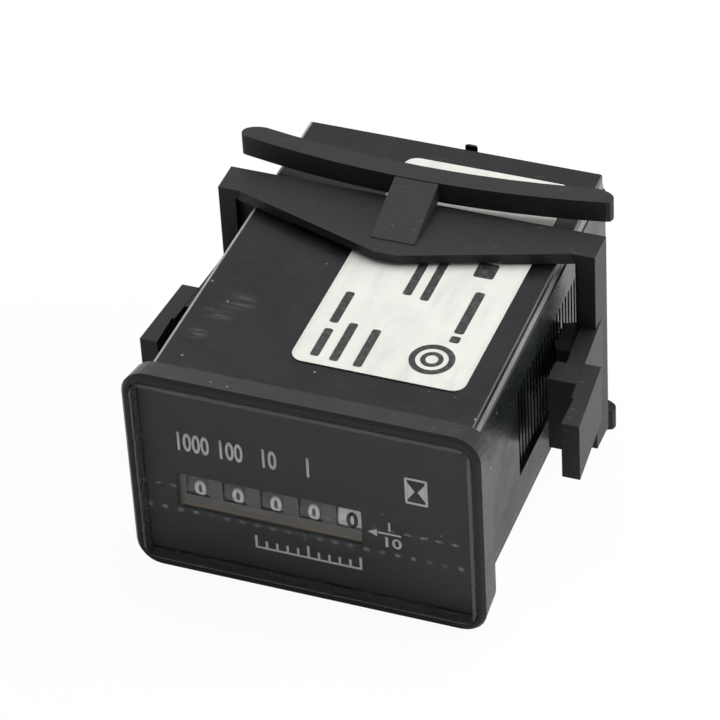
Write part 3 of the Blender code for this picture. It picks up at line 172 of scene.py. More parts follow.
class Finish:
    """One finish: its nodes, its Principled shader and its place in millimetres."""

    def __init__(self, name, roughness=0.5, metallic=0.0, specular=0.5):
        self.material = bpy.data.materials.new(name)
        self.material.use_nodes = True
        self.tree = self.material.node_tree
        self.shader = self.tree.nodes["Principled BSDF"]
        self.shader.inputs["Roughness"].default_value = roughness
        self.shader.inputs["Metallic"].default_value = metallic
        self.shader.inputs["Specular IOR Level"].default_value = specular
        spot = self.node("ShaderNodeTexCoord", output="Object")
        self.spot = self.node("ShaderNodeVectorMath", {"operation": "SCALE"}, {0: spot, "Scale": 1 / MM})
        self.x, self.y, self.z = (self.node("ShaderNodeSeparateXYZ", values={0: self.spot}, output=axis)
                                  for axis in ("X", "Y", "Z"))

    def node(self, kind, settings=None, values=None, output=0):
        made = self.tree.nodes.new(kind)
        for key, value in (settings or {}).items():
            setattr(made, key, value)
        for key, value in (values or {}).items():
            if isinstance(value, Value):
                self.tree.links.new(value.socket, made.inputs[key])
            else:
                made.inputs[key].default_value = value
        return Value(self, made.outputs[output])

    def maths(self, operation, *values):
        return self.node("ShaderNodeMath", {"operation": operation}, dict(enumerate(values)))

    def step(self, value, start, end):
        low, high, first, last = (start, end, 0.0, 1.0) if start < end else (end, start, 1.0, 0.0)
        return self.node("ShaderNodeMapRange", {"interpolation_type": "SMOOTHSTEP"},
                         {"Value": value, "From Min": low, "From Max": high, "To Min": first, "To Max": last})

    def mix(self, share, first, second):
        """A colour between two colours; plain colours are given as three numbers."""
        ends = [end if isinstance(end, Value) else (*end, 1.0) for end in (first, second)]
        return self.node("ShaderNodeMix", {"data_type": "RGBA"}, {0: share, 6: ends[0], 7: ends[1]}, output=2)

    def stretched(self, x, y, z, turn=0.0):
        """The place scaled along each axis, for marks that run one way."""
        return self.node("ShaderNodeMapping", values={"Vector": self.spot, "Scale": (x, y, z),
                                                      "Rotation": (0.0, 0.0, turn)})

    def cloud(self, scale, detail=3.0, where=None, rough=0.55):
        return self.node("ShaderNodeTexNoise", values={"Vector": where or self.spot, "Scale": scale,
                                                       "Detail": detail, "Roughness": rough})

    def specks(self, scale, size, where=None):
        """1 inside small round specks scattered over the surface."""
        away = self.node("ShaderNodeTexVoronoi", values={"Vector": where or self.spot, "Scale": scale},
                         output="Distance")
        return away.below(size, size / 3)

    def relief(self, height, strength, depth):
        return self.node("ShaderNodeBump",
                         values={"Height": height, "Strength": strength, "Distance": depth * MM})

    def set(self, **inputs):
        names = {"colour": "Base Color", "roughness": "Roughness", "normal": "Normal", "alpha": "Alpha",
                 "metallic": "Metallic"}
        for key, value in inputs.items():
            socket = self.shader.inputs[names[key]]
            if isinstance(value, Value):
                self.tree.links.new(value.socket, socket)
            elif key == "colour":
                socket.default_value = (*value, 1.0)
            else:
                socket.default_value = value
        return self.material


def spot_mask(finish, places):
    """Soft round areas about the given places, as (x, y, z, radius) in millimetres."""
    total = None
    for x, y, z, radius in places:
        away = finish.node("ShaderNodeVectorMath", {"operation": "DISTANCE"}, {0: finish.spot, 1: (x, y, z)},
                           output="Value")
        area = away.below(radius * 0.55, radius * 0.45)
        total = area if total is None else finish.maths("MAXIMUM", total, area)
    return total


def glossy_case():
    """Black moulding with a soft polish, dust, fine rub marks, a few scuffs on the top and painted highlight
    lines along the top long edges.
    """
    f = Finish("case_moulding", specular=0.22)
    top = CASE_TOP
    smudge = f.cloud(0.22, 4.0)
    fine = f.cloud(1.1, 3.0)
    rubs = f.cloud(1.0, 2.0, f.stretched(0.35, 5.0, 5.0, 0.5)).above(0.66, 0.03)
    rubs = rubs * f.cloud(0.35, 2.0).above(0.55, 0.08)
    scuffs = f.cloud(1.0, 4.0, f.stretched(0.2, 2.6, 0.9, 0.95), 0.7).above(0.55, 0.12)
    scuffs = scuffs * spot_mask(f, [(-14.3, PANEL + 10.6, top, 2.4), (-15.3, PANEL + 6.6, top, 1.6),
                                    (-12.8, PANEL + 12.8, top, 2.2)])
    # A thin pale line along the top-left long edge, from just behind the flange, is a painted highlight.
    rim_x = -CASE_SIDE + 0.3 + (f.y - PANEL) * (SIDE_LEAN / CASE_LONG)
    rim_highlight = (f.x - rim_x).below(0.32, 0.1) * f.z.above(top - 0.5, 0.2) * f.y.above(PANEL + 0.3, 0.2)
    # Painted highlights on the right: a thin pale line along the top-right long edge and a pale band about 1.5
    # mm below the top on the right side.
    right = (f.x + rim_x).above(-0.12, 0.06) * (f.z - (top - 1.5)).size().below(0.42, 0.08)
    right = f.maths("MAXIMUM", right, (f.x + rim_x).size().below(0.09, 0.05) * f.z.above(top - 0.3, 0.1) * 0.6)
    right = right * f.y.above(PANEL + 0.3, 0.2) * (f.cloud(0.3, 2.0) * 0.6 + 0.5)
    dust = f.specks(0.42, 0.055) * f.cloud(0.3, 1.0).above(0.5, 0.05)
    lint = f.specks(1.3, 0.05) * f.cloud(0.5, 2.0).above(0.58, 0.04)
    # The pale mix carries real scuffs, dust, lint and rub marks, and also the painted edge highlights.
    pale = f.maths("MAXIMUM", scuffs * 0.1, dust * 0.5)
    pale = f.maths("MAXIMUM", pale, rim_highlight * (f.cloud(0.3, 2.0) * 0.5 + 0.6))
    pale = f.maths("MAXIMUM", pale, right * 0.3)
    pale = f.maths("MAXIMUM", pale, lint * 0.18)
    pale = f.maths("MAXIMUM", pale, rubs * 0.05)
    base = f.mix(smudge, (0.004, 0.005, 0.0054), (0.008, 0.0095, 0.01))
    colour = f.mix(pale, base, (0.5, 0.49, 0.47))
    rough = f.step(smudge, 0.3, 0.75) * 0.12 + fine * 0.06 + scuffs * 0.2 + 0.2
    height = f.cloud(2.2, 2.0) * 0.5 + rubs * 0.3
    return f.set(colour=colour, roughness=rough, normal=f.relief(height, 0.25, 0.02))


def clamp_moulding():
    """Black glass-filled moulding: matt, with a fine grain, paler rubbed spots and dust."""
    f = Finish("clamp_moulding", specular=0.25)
    grain = f.cloud(3.2, 3.0)
    flow = f.cloud(0.3, 4.0, f.stretched(1.0, 0.35, 1.0))
    dust = f.specks(0.8, 0.05) * f.cloud(0.4, 1.0).above(0.52, 0.05)
    rubbed = f.cloud(1.4, 4.0, f.stretched(0.5, 1.6, 1.6)).above(0.66, 0.05)
    rubbed = rubbed * f.cloud(0.25, 1.0).above(0.5, 0.1)
    base = f.mix(flow, (0.008, 0.009, 0.0095), (0.013, 0.0145, 0.015))
    colour = f.mix(f.maths("MAXIMUM", dust * 0.22, rubbed * 0.06), base, (0.45, 0.45, 0.43))
    rough = grain * 0.16 + flow * 0.1 + 0.38
    return f.set(colour=colour, roughness=rough, normal=f.relief(grain, 0.5, 0.03))


def lens_plastic():
    """Clear plastic: pale round its edge where it catches the light, with a faint painted reflection of its
    inner edge and two faint rows of spots painted as reflections.
    """
    f = Finish("lens_plastic", specular=0.5)
    half_x = (LENS_HIGH.x - LENS_LOW.x) / 2
    half_z = (LENS_HIGH.z - LENS_LOW.z) / 2
    rim_highlight = f.maths("MAXIMUM", f.x.size().above(half_x - 0.34, 0.1), f.z.size().above(half_z - 0.34, 0.1))
    # A faint pale line inside the lens's edge, about 2 mm in at the sides and 1 mm in at top and bottom, is a
    # painted reflection of its inner edge.
    step = f.maths("MAXIMUM", f.x.size().above(half_x - 2.1, 0.06) * f.x.size().below(half_x - 1.95, 0.06),
                   f.z.size().above(half_z - 1.2, 0.06) * f.z.size().below(half_z - 1.05, 0.06))
    behind = f.y.above((LENS_LOW.y + LENS_HIGH.y) / 2, 0.1)
    # Two faint rows of pale spots on the lens's rear face are painted reflections.
    reflected_dots = None
    for level, start, end, wide, high in ((-2.25, -19.1, 16.7, 0.56, 0.27),
                                          (-5.53, -18.5, 17.4, 0.5, 0.42)):
        along = f.maths("PINGPONG", f.x - start, 1.79 / 2)
        away_x = along / wide
        away_z = (f.z - level) / high
        away = f.maths("SQRT", away_x * away_x + away_z * away_z)
        row = away.below(0.75, 0.45) * f.x.above(start - 0.6) * f.x.below(end + 0.6)
        reflected_dots = row if reflected_dots is None else f.maths("MAXIMUM", reflected_dots, row)
    reflected_dots = reflected_dots * behind * (f.cloud(0.35, 1.0) * 0.9 + 0.2)
    haze = f.cloud(0.16, 3.0)
    dust = f.specks(0.5, 0.05) * f.cloud(0.3, 1.0).above(0.53, 0.05)
    colour = f.mix(rim_highlight, (0.12, 0.125, 0.125), (0.14, 0.147, 0.147))
    colour = f.mix(reflected_dots, colour, (0.42, 0.46, 0.46))
    colour = f.mix(dust, colour, (0.6, 0.6, 0.58))
    clear = haze * 0.05 + 0.045
    clear = f.maths("MAXIMUM", clear, rim_highlight * 0.42)
    clear = f.maths("MAXIMUM", clear, step * 0.09)
    clear = f.maths("MAXIMUM", clear, reflected_dots * 0.6)
    clear = f.maths("MAXIMUM", clear, dust * 0.5)
    return f.set(colour=colour, roughness=haze * 0.1 + 0.06, alpha=clear)


def dial_print():
    f = Finish("dial_black", specular=0.3)
    tone = f.cloud(0.9, 3.0)
    dust = f.specks(0.6, 0.05) * f.cloud(0.3, 1.0).above(0.56, 0.05)
    base = f.mix(tone, (0.009, 0.0097, 0.01), (0.013, 0.0138, 0.0142))
    return f.set(colour=f.mix(dust * 0.5, base, (0.4, 0.4, 0.38)), roughness=tone * 0.2 + 0.42,
                 normal=f.relief(f.cloud(6.0, 2.0), 0.05, 0.004))


def white_ink(name, dark, light):
    f = Finish(name, specular=0.3)
    tone = f.cloud(1.6, 4.0)
    return f.set(colour=f.mix(tone, dark, light), roughness=tone * 0.2 + 0.5)


def label_paper():
    """Off-white sticker, a little soiled, more so towards its edges."""
    f = Finish("label_paper", specular=0.35)
    mottle = f.cloud(0.35, 5.0)
    smear = f.cloud(1.0, 4.0, f.stretched(0.5, 0.12, 1.0)).above(0.6, 0.12)
    middle_x = (LABEL_LOW.x + LABEL_HIGH.x) / 2
    half = (LABEL_HIGH.x - LABEL_LOW.x) / 2
    edge = (f.x - middle_x).size().above(half - 0.35, 0.35)
    dirt = f.specks(0.8, 0.05) * f.cloud(0.4, 1.0).above(0.55, 0.05)
    base = f.mix(mottle, (0.68, 0.70, 0.645), (0.82, 0.83, 0.775))
    base = f.mix(smear * 0.35, base, (0.52, 0.53, 0.50))
    base = f.mix(edge * 0.18, base, (0.4, 0.4, 0.36))
    return f.set(colour=f.mix(dirt * 0.6, base, (0.2, 0.19, 0.17)), roughness=mottle * 0.2 + 0.38,
                 normal=f.relief(f.cloud(2.5, 3.0), 0.2, 0.02))


def label_ink():
    f = Finish("label_ink", specular=0.3)
    worn = f.cloud(1.8, 5.0)
    return f.set(colour=f.mix(f.step(worn, 0.4, 0.8), (0.02, 0.022, 0.021), (0.09, 0.093, 0.09)),
                 roughness=worn * 0.2 + 0.5)


def drum_finish(name, dark, light):
    """Number drum: printed face, turned sides and a little dust."""
    f = Finish(name, specular=0.4)
    tone = f.cloud(1.2, 3.0)
    dust = f.specks(1.4, 0.06) * f.cloud(0.6, 1.0).above(0.54, 0.05)
    away = f.maths("SQRT", (f.y - DRUM_Y) * (f.y - DRUM_Y) + (f.z - DRUM_Z) * (f.z - DRUM_Z))
    turned = f.maths("SINE", away * 40.0) * 0.5 + 0.5
    return f.set(colour=f.mix(dust * 0.3, f.mix(tone, dark, light), (0.5, 0.5, 0.48)),
                 roughness=tone * 0.2 + 0.4, normal=f.relief(turned, 0.12, 0.01))


def acetal():
    """Natural acetal: creamy, slightly waxy, faintly cloudy."""
    f = Finish("gear_acetal", specular=0.5)
    tone = f.cloud(0.7, 3.0)
    grease = f.cloud(1.2, 2.0).above(0.62, 0.06)
    base = f.mix(tone, (0.68, 0.63, 0.53), (0.78, 0.74, 0.65))
    return f.set(colour=f.mix(grease * 0.25, base, (0.5, 0.42, 0.28)), roughness=0.42 - grease * 0.18,
                 normal=f.relief(f.cloud(3.0, 2.0), 0.15, 0.02))


def brown_moulding():
    f = Finish("frame_moulding", specular=0.45)
    flow = f.cloud(0.35, 4.0, f.stretched(1.0, 0.4, 1.0))
    base = f.mix(flow, (0.10, 0.065, 0.04), (0.17, 0.11, 0.07))
    return f.set(colour=base, roughness=flow * 0.2 + 0.36, normal=f.relief(f.cloud(3.4, 3.0), 0.35, 0.02))


def rolled_brass():
    """Rolled brass tabs: fine lines along the tab, warm spots and a duller tip."""
    f = Finish("tab_brass", metallic=1.0)
    lines = f.cloud(1.0, 3.0, f.stretched(4.0, 0.3, 9.0))
    tarnish = f.cloud(0.9, 4.0).above(0.56, 0.12)
    tip = f.y.above(COVER_REAR + 4.5, 3.5)
    colour = f.mix(lines, (0.62, 0.44, 0.20), (0.78, 0.60, 0.32))
    colour = f.mix(tarnish * 0.4 + tip * 0.15, colour, (0.34, 0.22, 0.10))
    return f.set(colour=colour, roughness=lines * 0.15 + tarnish * 0.15 + 0.2,
                 normal=f.relief(lines, 0.2, 0.01))


def ground_steel(name, along):
    f = Finish(name, metallic=1.0)
    lines = f.cloud(1.0, 3.0, f.stretched(*along))
    tone = f.cloud(0.5, 2.0)
    colour = f.mix(lines, (0.48, 0.48, 0.49), (0.63, 0.63, 0.64))
    return f.set(colour=f.mix(tone * 0.3, colour, (0.4, 0.39, 0.37)), roughness=lines * 0.18 + 0.2,
                 normal=f.relief(lines, 0.25, 0.01))


def wound_wire():
    """Layers of fine enamelled wire wound round the coil."""
    f = Finish("coil_wire", roughness=0.3, metallic=0.9)
    lay = f.maths("SINE", f.z * 52.0 + f.cloud(0.8, 2.0) * 1.5) * 0.5 + 0.5
    tone = f.cloud(1.0, 3.0)
    # The colour is painted darker in the grooves between turns, painted shade that follows the bump.
    colour = f.mix(lay, (0.22, 0.07, 0.02), (0.66, 0.29, 0.12))
    return f.set(colour=f.mix(tone * 0.4, colour, (0.45, 0.18, 0.07)), roughness=lay * -0.1 + 0.4,
                 normal=f.relief(lay, 0.6, 0.02))


def board_resist():
    """Green solder resist with straight copper tracks under it."""
    f = Finish("board_resist", specular=0.5)
    weave = f.maths("SINE", f.x * 9.0) * f.maths("SINE", f.z * 9.0)
    lanes = f.maths("PINGPONG", f.x, 1.27).below(0.3, 0.05)
    lanes = lanes * f.z.size().above(1.5, 0.05) * f.z.size().below(8.0, 0.05)
    buses = f.maths("PINGPONG", f.z - 0.4, 3.1).below(0.35, 0.05) * f.x.size().below(12.5, 0.05)
    track = f.maths("MAXIMUM", lanes * f.cloud(0.18, 0.0).above(0.5, 0.03), buses)
    base = f.mix(track, (0.018, 0.10, 0.04), (0.05, 0.22, 0.075))
    return f.set(colour=f.mix(weave * 0.06 + 0.06, base, (0.16, 0.24, 0.12)),
                 roughness=f.cloud(1.0) * 0.2 + 0.25, normal=f.relief(track, 0.5, 0.03))


def moulded_chip():
    f = Finish("chip_moulding", specular=0.35)
    grain = f.cloud(5.0, 2.0)
    return f.set(colour=f.mix(grain, (0.012, 0.012, 0.013), (0.03, 0.03, 0.031)), roughness=grain * 0.2 + 0.45,
                 normal=f.relief(grain, 0.5, 0.02))


def can_sleeve():
    """Dark blue shrunk sleeve with a pale stripe down its side and a bare end."""
    f = Finish("can_sleeve", specular=0.5)
    low, high = (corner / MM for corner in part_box("capacitor"))
    stripe = (f.z - (low.z + high.z) / 2).size().below(0.7, 0.05) * f.x.above((low.x + high.x) / 2)
    bare = f.y.below(low.y + 0.05, 0.03)
    wrinkle = f.cloud(1.0, 3.0, f.stretched(2.0, 0.5, 2.0))
    base = f.mix(wrinkle, (0.015, 0.02, 0.06), (0.03, 0.04, 0.10))
    base = f.mix(stripe, base, (0.45, 0.48, 0.55))
    return f.set(colour=f.mix(bare, base, (0.6, 0.6, 0.6)), roughness=wrinkle * 0.2 + 0.22,
                 metallic=bare * 0.9, normal=f.relief(wrinkle, 0.3, 0.03))


def banded(name, node, body, bands):
    """A small round part with bands round it; each band is (share of the length, colour)."""
    f = Finish(name, specular=0.5)
    low, high = (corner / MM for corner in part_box(node))
    along = (f.x - low.x) / (high.x - low.x)
    tone = f.cloud(2.0, 2.0)
    colour = f.mix(tone * 0.3, body, tuple(0.8 * part for part in body))
    for share, ink in bands:
        colour = f.mix((along - share).size().below(0.045, 0.01), colour, ink)
    return f.set(colour=colour, roughness=tone * 0.15 + 0.3, normal=f.relief(tone, 0.2, 0.02))


# The strip's dark grey-brown colour is painted shade over the drums' lower halves; a thin brown line runs
# across it.
def shade_strip():
    f = Finish("counter_shade", specular=0.3)
    brown_line = (f.z - (DRUM_Z - 2.05)).size().below(0.09, 0.07)
    tone = f.cloud(0.6, 3.0)
    base = f.mix(tone, (0.13, 0.126, 0.117), (0.17, 0.163, 0.15))
    return f.set(colour=f.mix(brown_line * 0.8, base, (0.34, 0.25, 0.15)), roughness=tone * 0.2 + 0.5)


def dress(node, material):
    shown = NODES[node]
    shown.data.materials.clear()
    shown.data.materials.append(material)


# Modelling

def fresh():
    """Leaves edit mode and selects nothing."""
    if bpy.context.object and bpy.context.object.mode != "OBJECT":
        bpy.ops.object.mode_set(mode="OBJECT")
    bpy.ops.object.select_all(action="DESELECT")


def settle(piece, name, material, body):
    """The finished piece gets its name, its finish and the body that it rides on."""
    fresh()
    piece.select_set(True)
    bpy.context.view_layer.objects.active = piece
    bpy.ops.object.transform_apply(location=True, rotation=True, scale=True)
    piece.name = name
    piece.data.name = name
    piece.data.materials.clear()
    piece.data.materials.append(material)
    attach(piece, body)
    return piece


def joined(pieces):
    fresh()
    for piece in pieces:
        piece.select_set(True)
    bpy.context.view_layer.objects.active = pieces[0]
    if len(pieces) > 1:
        bpy.ops.object.join()
    return bpy.context.view_layer.objects.active


def figures(words, height, spread=0.9, weight=0.0):
    """Plain numerals as a flat mesh in the XY plane, centred, of the given height in millimetres."""
    fresh()
    bpy.ops.object.text_add(location=(0, 0, 0))
    text = bpy.context.object
    text.data.body = words
    text.data.resolution_u = 3
    text.data.offset = weight
    bpy.ops.object.convert(target="MESH")
    flat = bpy.context.object
    xs = [vertex.co.x for vertex in flat.data.vertices]
    ys = [vertex.co.y for vertex in flat.data.vertices]
    scale_y = height * MM / (max(ys) - min(ys))
    bpy.ops.object.mode_set(mode="EDIT")
    bpy.ops.mesh.select_all(action="SELECT")
    bpy.ops.mesh.remove_doubles(threshold=0.0001)
    middle = Vector(((max(xs) + min(xs)) / 2, (max(ys) + min(ys)) / 2, 0))
    bpy.ops.transform.translate(value=-middle)
    bpy.ops.transform.resize(value=(scale_y * spread, scale_y, 1), center_override=(0, 0, 0))
    bpy.ops.object.mode_set(mode="OBJECT")
    return flat


def thicken(piece, depth):
    """Gives a flat shape a thickness towards its own +Z."""
    fresh()
    piece.select_set(True)
    bpy.context.view_layer.objects.active = piece
    wall = piece.modifiers.new("thickness", "SOLIDIFY")
    wall.thickness = depth * MM
    wall.offset = 1.0
    bpy.ops.object.modifier_apply(modifier=wall.name)
    return piece


def bar(x_low, x_high, y_low, y_high, corner=0.0):
    """A flat bar with rounded corners in the XY plane, in millimetres."""
    fresh()
    middle = ((x_low + x_high) / 2 * MM, (y_low + y_high) / 2 * MM, 0)
    bpy.ops.mesh.primitive_plane_add(size=1, location=middle)
    flat = bpy.context.object
    bpy.ops.object.mode_set(mode="EDIT")
    bpy.ops.transform.resize(value=((x_high - x_low) * MM, (y_high - y_low) * MM, 1), center_override=middle)
    if corner:
        bpy.ops.mesh.bevel(offset=corner * MM, segments=3, affect="VERTICES")
    bpy.ops.object.mode_set(mode="OBJECT")
    bpy.ops.object.transform_apply(location=True, rotation=False, scale=True)
    return flat


def ring(x, y, outer, stroke, sides=40):
    """A flat round ring in the XY plane."""
    fresh()
    bpy.ops.mesh.primitive_circle_add(vertices=sides, radius=outer * MM, fill_type="NGON",
                                      location=(x * MM, y * MM, 0))
    flat = bpy.context.object
    bpy.ops.object.mode_set(mode="EDIT")
    bpy.ops.mesh.select_all(action="SELECT")
    bpy.ops.mesh.inset(thickness=stroke * MM)
    bpy.ops.mesh.delete(type="FACE")
    bpy.ops.object.mode_set(mode="OBJECT")
    bpy.ops.object.transform_apply(location=True, rotation=False, scale=True)
    return flat


def frame_of_bars(x_low, x_high, y_low, y_high, stroke, corner):
    """A flat rounded outline."""
    flat = bar(x_low, x_high, y_low, y_high, corner)
    bpy.ops.object.mode_set(mode="EDIT")
    bpy.ops.mesh.select_all(action="SELECT")
    bpy.ops.mesh.inset(thickness=stroke * MM)
    bpy.ops.mesh.delete(type="FACE")
    bpy.ops.object.mode_set(mode="OBJECT")
    return flat


def wedge(points):
    """A flat shape with straight sides, cut from a disc with as many corners."""
    fresh()
    bpy.ops.mesh.primitive_circle_add(vertices=len(points), radius=MM, fill_type="NGON", location=(0, 0, 0))
    flat = bpy.context.object
    for vertex, (x, y) in zip(flat.data.vertices, points):
        vertex.co = Vector((x, y, 0)) * MM
    return flat


def shifted(piece, x, y):
    for vertex in piece.data.vertices:
        vertex.co += Vector((x, y, 0)) * MM
    return piece


def upright(piece, plane):
    """Turns a flat print that faces +Z to face the front, on the plane at that depth."""
    for vertex in piece.data.vertices:
        x, y, z = vertex.co
        vertex.co = Vector((x, plane * MM - z, y))
    piece.data.update()
    return piece


def dial_figures(ink):
    """Place values over the drums, the tenths mark, a time sign and a plain scale under the window."""
    marks = []
    centres = [(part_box(name)[0].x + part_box(name)[1].x) / 2 / MM + PAST_MIDDLE for name in WHEELS]
    for words, centre in zip(("1000", "100", "10", "1"), centres):
        marks.append(shifted(figures(words, 2.6, 0.58, 0.02), centre, 4.1))
    marks.append(shifted(figures("1", 1.2, 1.0, 0.02), 9.2, -1.95))
    marks.append(bar(7.9, 10.5, -3.06, -2.86))
    marks.append(shifted(figures("10", 1.4, 1.2, 0.015), 9.6, -4.15))
    marks.append(wedge([(6.75, -3.1), (7.75, -3.55), (7.75, -2.65)]))
    marks.append(frame_of_bars(11.2, 13.75, 2.05, 5.65, 0.26, 0.15))
    marks.append(wedge([(11.5, 2.7), (12.3, 3.85), (11.5, 5.0)]))
    marks.append(wedge([(13.45, 2.7), (13.45, 5.0), (12.65, 3.85)]))
    marks.append(bar(-6.5, 5.8, -9.0, -8.75))
    for step in range(11):
        x = -6.38 + step * 1.206
        high = -7.25 if step % 5 == 0 else -7.85
        marks.append(bar(x - 0.13, x + 0.13, -8.8, high))
    flat = joined(marks)
    thicken(flat, PRINT)
    settle(upright(flat, DIAL_LOW.y - DIAL_CLEAR), "dial_figures", ink, "housing")


def drum_figures(pale, dark):
    """Numerals 0 to 9 wrapped round each drum; the next number up comes from below."""
    reach = DRUM_RADIUS + CLEAR
    flats = [figures(str(number), 2.15, 0.95, 0.035) for number in range(10)]
    for number, flat in enumerate(flats):
        fresh()
        flat.select_set(True)
        bpy.context.view_layer.objects.active = flat
        bpy.ops.object.mode_set(mode="EDIT")
        for cut in range(-7, 8):
            bpy.ops.mesh.select_all(action="SELECT")
            bpy.ops.mesh.bisect(plane_co=(0, cut * 0.15 * MM, 0), plane_no=(0, 1, 0))
        bpy.ops.object.mode_set(mode="OBJECT")
        thicken(flat, PRINT * 0.8)
        for vertex in flat.data.vertices:
            angle = vertex.co.y / (reach * MM) - number * DIGIT_STEP + DIGIT_TURN
            radius = reach * MM + vertex.co.z
            vertex.co = Vector((vertex.co.x, DRUM_Y * MM - radius * math.cos(angle),
                                DRUM_Z * MM + radius * math.sin(angle)))
    shared = joined(flats)
    for node in WHEELS:
        low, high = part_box(node)
        copy = shared.copy()
        copy.data = shared.data.copy()
        bpy.context.scene.collection.objects.link(copy)
        for vertex in copy.data.vertices:
            vertex.co.x += (low.x + high.x) / 2 + PAST_MIDDLE * MM
        body = node.replace("wheel_", "")
        ink = dark if body == "tenths" else pale
        settle(copy, f"figures_{body}", ink, body)
    bpy.data.objects.remove(shared, do_unlink=True)


def label_marks(ink):
    """Plain bars in rows and a ring on the sticker."""
    rows = [
        (-1.9, 1.0, [(6.5, 11.3), (12.4, 17.9)]),
        (0.35, 1.0, [(6.3, 12.9)]),
        (3.1, 1.0, [(6.1, 12.6)]),
        (4.0, 1.0, [(19.2, 25.6), (26.6, 30.5)]),
        (6.1, 1.0, [(18.8, 27.4)]),
        (11.6, 1.1, [(12.9, 14.0), (14.5, 21.9)]),
        (10.9, 2.3, [(24.4, 27.0)]),
        (-1.9, 0.75, [(37.5, 41.6)]),
        (5.9, 2.4, [(39.7, 41.9)]),
    ]
    marks = []
    for x, width, spans in rows:
        for start, end in spans:
            marks.append(bar(x - width / 2, x + width / 2, PANEL + start, PANEL + end, min(width, 0.9) * 0.3))
    marks.append(ring(10.35, PANEL + 9.6, 2.5, 0.7))
    marks.append(ring(10.35, PANEL + 9.6, 1.25, 0.55))
    flat = joined(marks)
    thicken(flat, LABEL_PRINT)
    draft = TOP_LEAN / CASE_LONG
    for vertex in flat.data.vertices:
        depth = vertex.co.y / MM - PANEL
        vertex.co.z += (LABEL_HIGH.z + (LABEL_START - depth) * draft + CLEAR) * MM
    settle(flat, "label_marks", ink, "housing")


def polarity_signs(finish):
    """A plus and a minus stand up from the cover beside their tabs."""
    signs = []
    for side in (1, -1):
        tab = "terminal_positive" if side > 0 else "terminal_negative"
        low, high = (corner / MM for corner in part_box(tab))
        x = (low.x + high.x) / 2
        signs.append(bar(-x - 0.9, -x + 0.9, 6.0, 6.45, 0.1))
        if side > 0:
            signs.append(bar(-x - 0.22, -x + 0.22, 6.4, 7.15, 0.1))
            signs.append(bar(-x - 0.22, -x + 0.22, 5.3, 6.05, 0.1))
    flat = joined(signs)
    thicken(flat, 0.15)
    back = CASE_HIGH.y
    for vertex in flat.data.vertices:
        x, y, z = vertex.co
        vertex.co = Vector((-x, back * MM - 0.00001 + z, y))
    settle(flat, "polarity_signs", finish, "housing")


def slat(x_low, x_high, z_low, z_high):
    """A thin upright strip just behind the dial plate."""
    middle = Vector(((x_low + x_high) / 2, DIAL_HIGH.y + 0.17, (z_low + z_high) / 2)) * MM
    fresh()
    bpy.ops.mesh.primitive_cube_add(size=1, location=middle)
    strip = bpy.context.object
    bpy.ops.object.mode_set(mode="EDIT")
    bpy.ops.transform.resize(value=((x_high - x_low) * MM, 0.12 * MM, (z_high - z_low) * MM),
                             center_override=middle)
    bpy.ops.mesh.bevel(offset=0.02 * MM, segments=1)
    bpy.ops.object.mode_set(mode="OBJECT")
    return strip


def counter_shade(finish, comb):
    """A thin dark strip is painted shade over the drums' undersides, and slats cover the gaps beside and
    between them.
    """
    low = DRUM_Z - 3.1
    high = DRUM_Z - 0.68
    settle(slat(-15.9, 6.7, low, high), "counter_shade", finish, "housing")
    slats = [slat(-15.9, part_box(WHEELS[0])[0].x / MM + 0.82, high, DRUM_Z + 3.0)]
    for left, right in zip(WHEELS, WHEELS[1:]):
        gap = (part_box(left)[1].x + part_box(right)[0].x) / 2 / MM
        slats.append(slat(gap - 0.82, gap + 0.82, high, DRUM_Z + 3.0))
    settle(joined(slats), "drum_comb", comb, "housing")


def dress_the_solids():
    case = glossy_case()
    acetal_finish = acetal()
    brown = brown_moulding()
    turned_steel = ground_steel("turned_steel", (0.3, 5.0, 5.0))
    dress("case", case)
    dress("back_cover", case)
    dress("lens", lens_plastic())
    dress("dial_plate", dial_print())
    dress("label", label_paper())
    dress("mounting_clamp", clamp_moulding())
    black_drum = drum_finish("drum_black", (0.10, 0.102, 0.102), (0.13, 0.132, 0.13))
    white_drum = drum_finish("drum_white", (0.78, 0.78, 0.76), (0.86, 0.86, 0.84))
    for node in WHEELS:
        dress(node, white_drum if node == "wheel_tenths" else black_drum)
    for place in range(1, 5):
        dress(f"transfer_pinion_{place}", acetal_finish)
    for node in ("reduction_gear_1", "reduction_gear_2"):
        dress(node, acetal_finish)
    for node in ("counter_frame", "gear_cover", "coil_bobbin"):
        dress(node, brown)
    brass = rolled_brass()
    for node in ("terminal_positive", "terminal_negative", "pinion_shaft"):
        dress(node, brass)
    for node in ("wheel_shaft", "motor_rotor", "movement_screw_1", "movement_screw_2", "movement_screw_3"):
        dress(node, turned_steel)
    dress("motor_stator", ground_steel("stator_steel", (4.0, 0.4, 4.0)))
    dress("quartz_crystal", ground_steel("crystal_steel", (3.0, 3.0, 0.4)))
    dress("coil_winding", wound_wire())
    dress("circuit_board", board_resist())
    dress("timer_chip", moulded_chip())
    dress("capacitor", can_sleeve())
    bands = [(0.2, (0.25, 0.06, 0.02)), (0.38, (0.02, 0.02, 0.02)),
             (0.56, (0.5, 0.12, 0.02)), (0.8, (0.55, 0.4, 0.1))]
    dress("resistor", banded("resistor_body", "resistor", (0.50, 0.36, 0.22), bands))
    dress("diode", banded("diode_body", "diode", (0.03, 0.03, 0.03), [(0.84, (0.6, 0.6, 0.6))]))


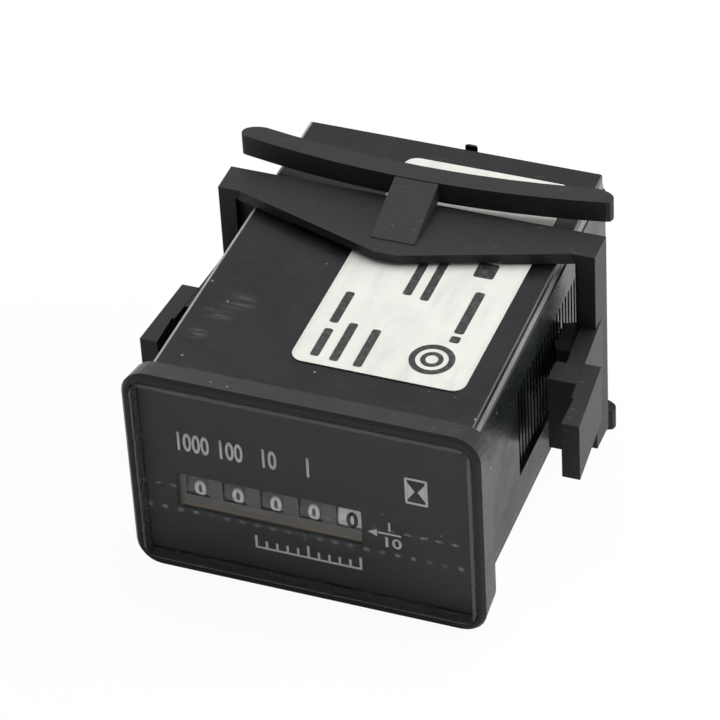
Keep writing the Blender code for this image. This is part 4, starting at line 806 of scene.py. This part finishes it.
def light_the_studio():
    soft_lamp("right_box", (0.90, 0.35, 0.33), 0.7, 0.5, 0.4, 6.5)
    soft_lamp("top_box", (-0.05, 0.30, 1.0), 0.7, 0.6, 0.5, 2.8)
    world = bpy.data.worlds.new("studio")
    bpy.context.scene.world = world
    world.use_nodes = True
    tree = world.node_tree
    back = tree.nodes["Background"]
    back.inputs["Color"].default_value = (1.0, 1.0, 1.0, 1.0)
    path = tree.nodes.new("ShaderNodeLightPath")
    seen = None
    for ray in ("Is Camera Ray", "Is Glossy Ray", "Is Transmission Ray"):
        if seen is None:
            seen = path.outputs[ray]
            continue
        most = tree.nodes.new("ShaderNodeMath")
        most.operation = "MAXIMUM"
        tree.links.new(seen, most.inputs[0])
        tree.links.new(path.outputs[ray], most.inputs[1])
        seen = most.outputs[0]
    level = tree.nodes.new("ShaderNodeMapRange")
    level.inputs["To Min"].default_value = ROOM_LIGHT
    level.inputs["To Max"].default_value = ROOM_SEEN
    tree.links.new(seen, level.inputs["Value"])
    tree.links.new(level.outputs[0], back.inputs["Strength"])


def lay_the_floor():
    """A pale sheet under the meter, at the slope on which it rests: on its flange and its lower bow."""
    contact = Vector((0, CASE_LOW.y + 0.35, CASE_LOW.z)) * MM
    slope = math.radians(FLOOR_SLOPE)
    fresh()
    bpy.ops.mesh.primitive_plane_add(size=FLOOR_SIDE, location=contact, rotation=(slope, 0, 0))
    floor = bpy.context.object
    floor.name = "floor"
    f = Finish("floor_paper", roughness=0.9, specular=0.1)
    tone = f.cloud(0.01, 2.0)
    f.set(colour=f.mix(tone, (0.93, 0.93, 0.93), (0.95, 0.95, 0.95)))
    seen = f.node("ShaderNodeLightPath", output="Is Camera Ray")
    seen = f.maths("MAXIMUM", seen, f.node("ShaderNodeLightPath", output="Is Transmission Ray"))
    mirrored = f.node("ShaderNodeLightPath", output="Is Glossy Ray")
    seen = f.maths("MAXIMUM", seen * FLOOR_SEEN, mirrored * FLOOR_MIRRORED)
    white = f.node("ShaderNodeEmission", values={"Color": (1.0, 1.0, 1.0, 1.0), "Strength": 1.0})
    paper = Value(f, f.shader.outputs[0])
    shown = f.node("ShaderNodeMixShader", values={0: seen, 1: paper, 2: white})
    f.tree.links.new(shown.socket, f.tree.nodes["Material Output"].inputs["Surface"])
    floor.data.materials.append(f.material)


place_camera()
light_the_studio()
lay_the_floor()
dress_the_solids()
black_ink = label_ink()
dial_figures(white_ink("dial_ink", (0.55, 0.55, 0.54), (0.72, 0.72, 0.71)))
drum_figures(white_ink("drum_ink", (0.82, 0.82, 0.80), (0.95, 0.95, 0.93)), black_ink)
label_marks(black_ink)
polarity_signs(NODES["case"].data.materials[0])
# The counter shade strip is painted shade; the comb takes the drums' own finish.
counter_shade(shade_strip(), NODES["wheel_units"].data.materials[0])
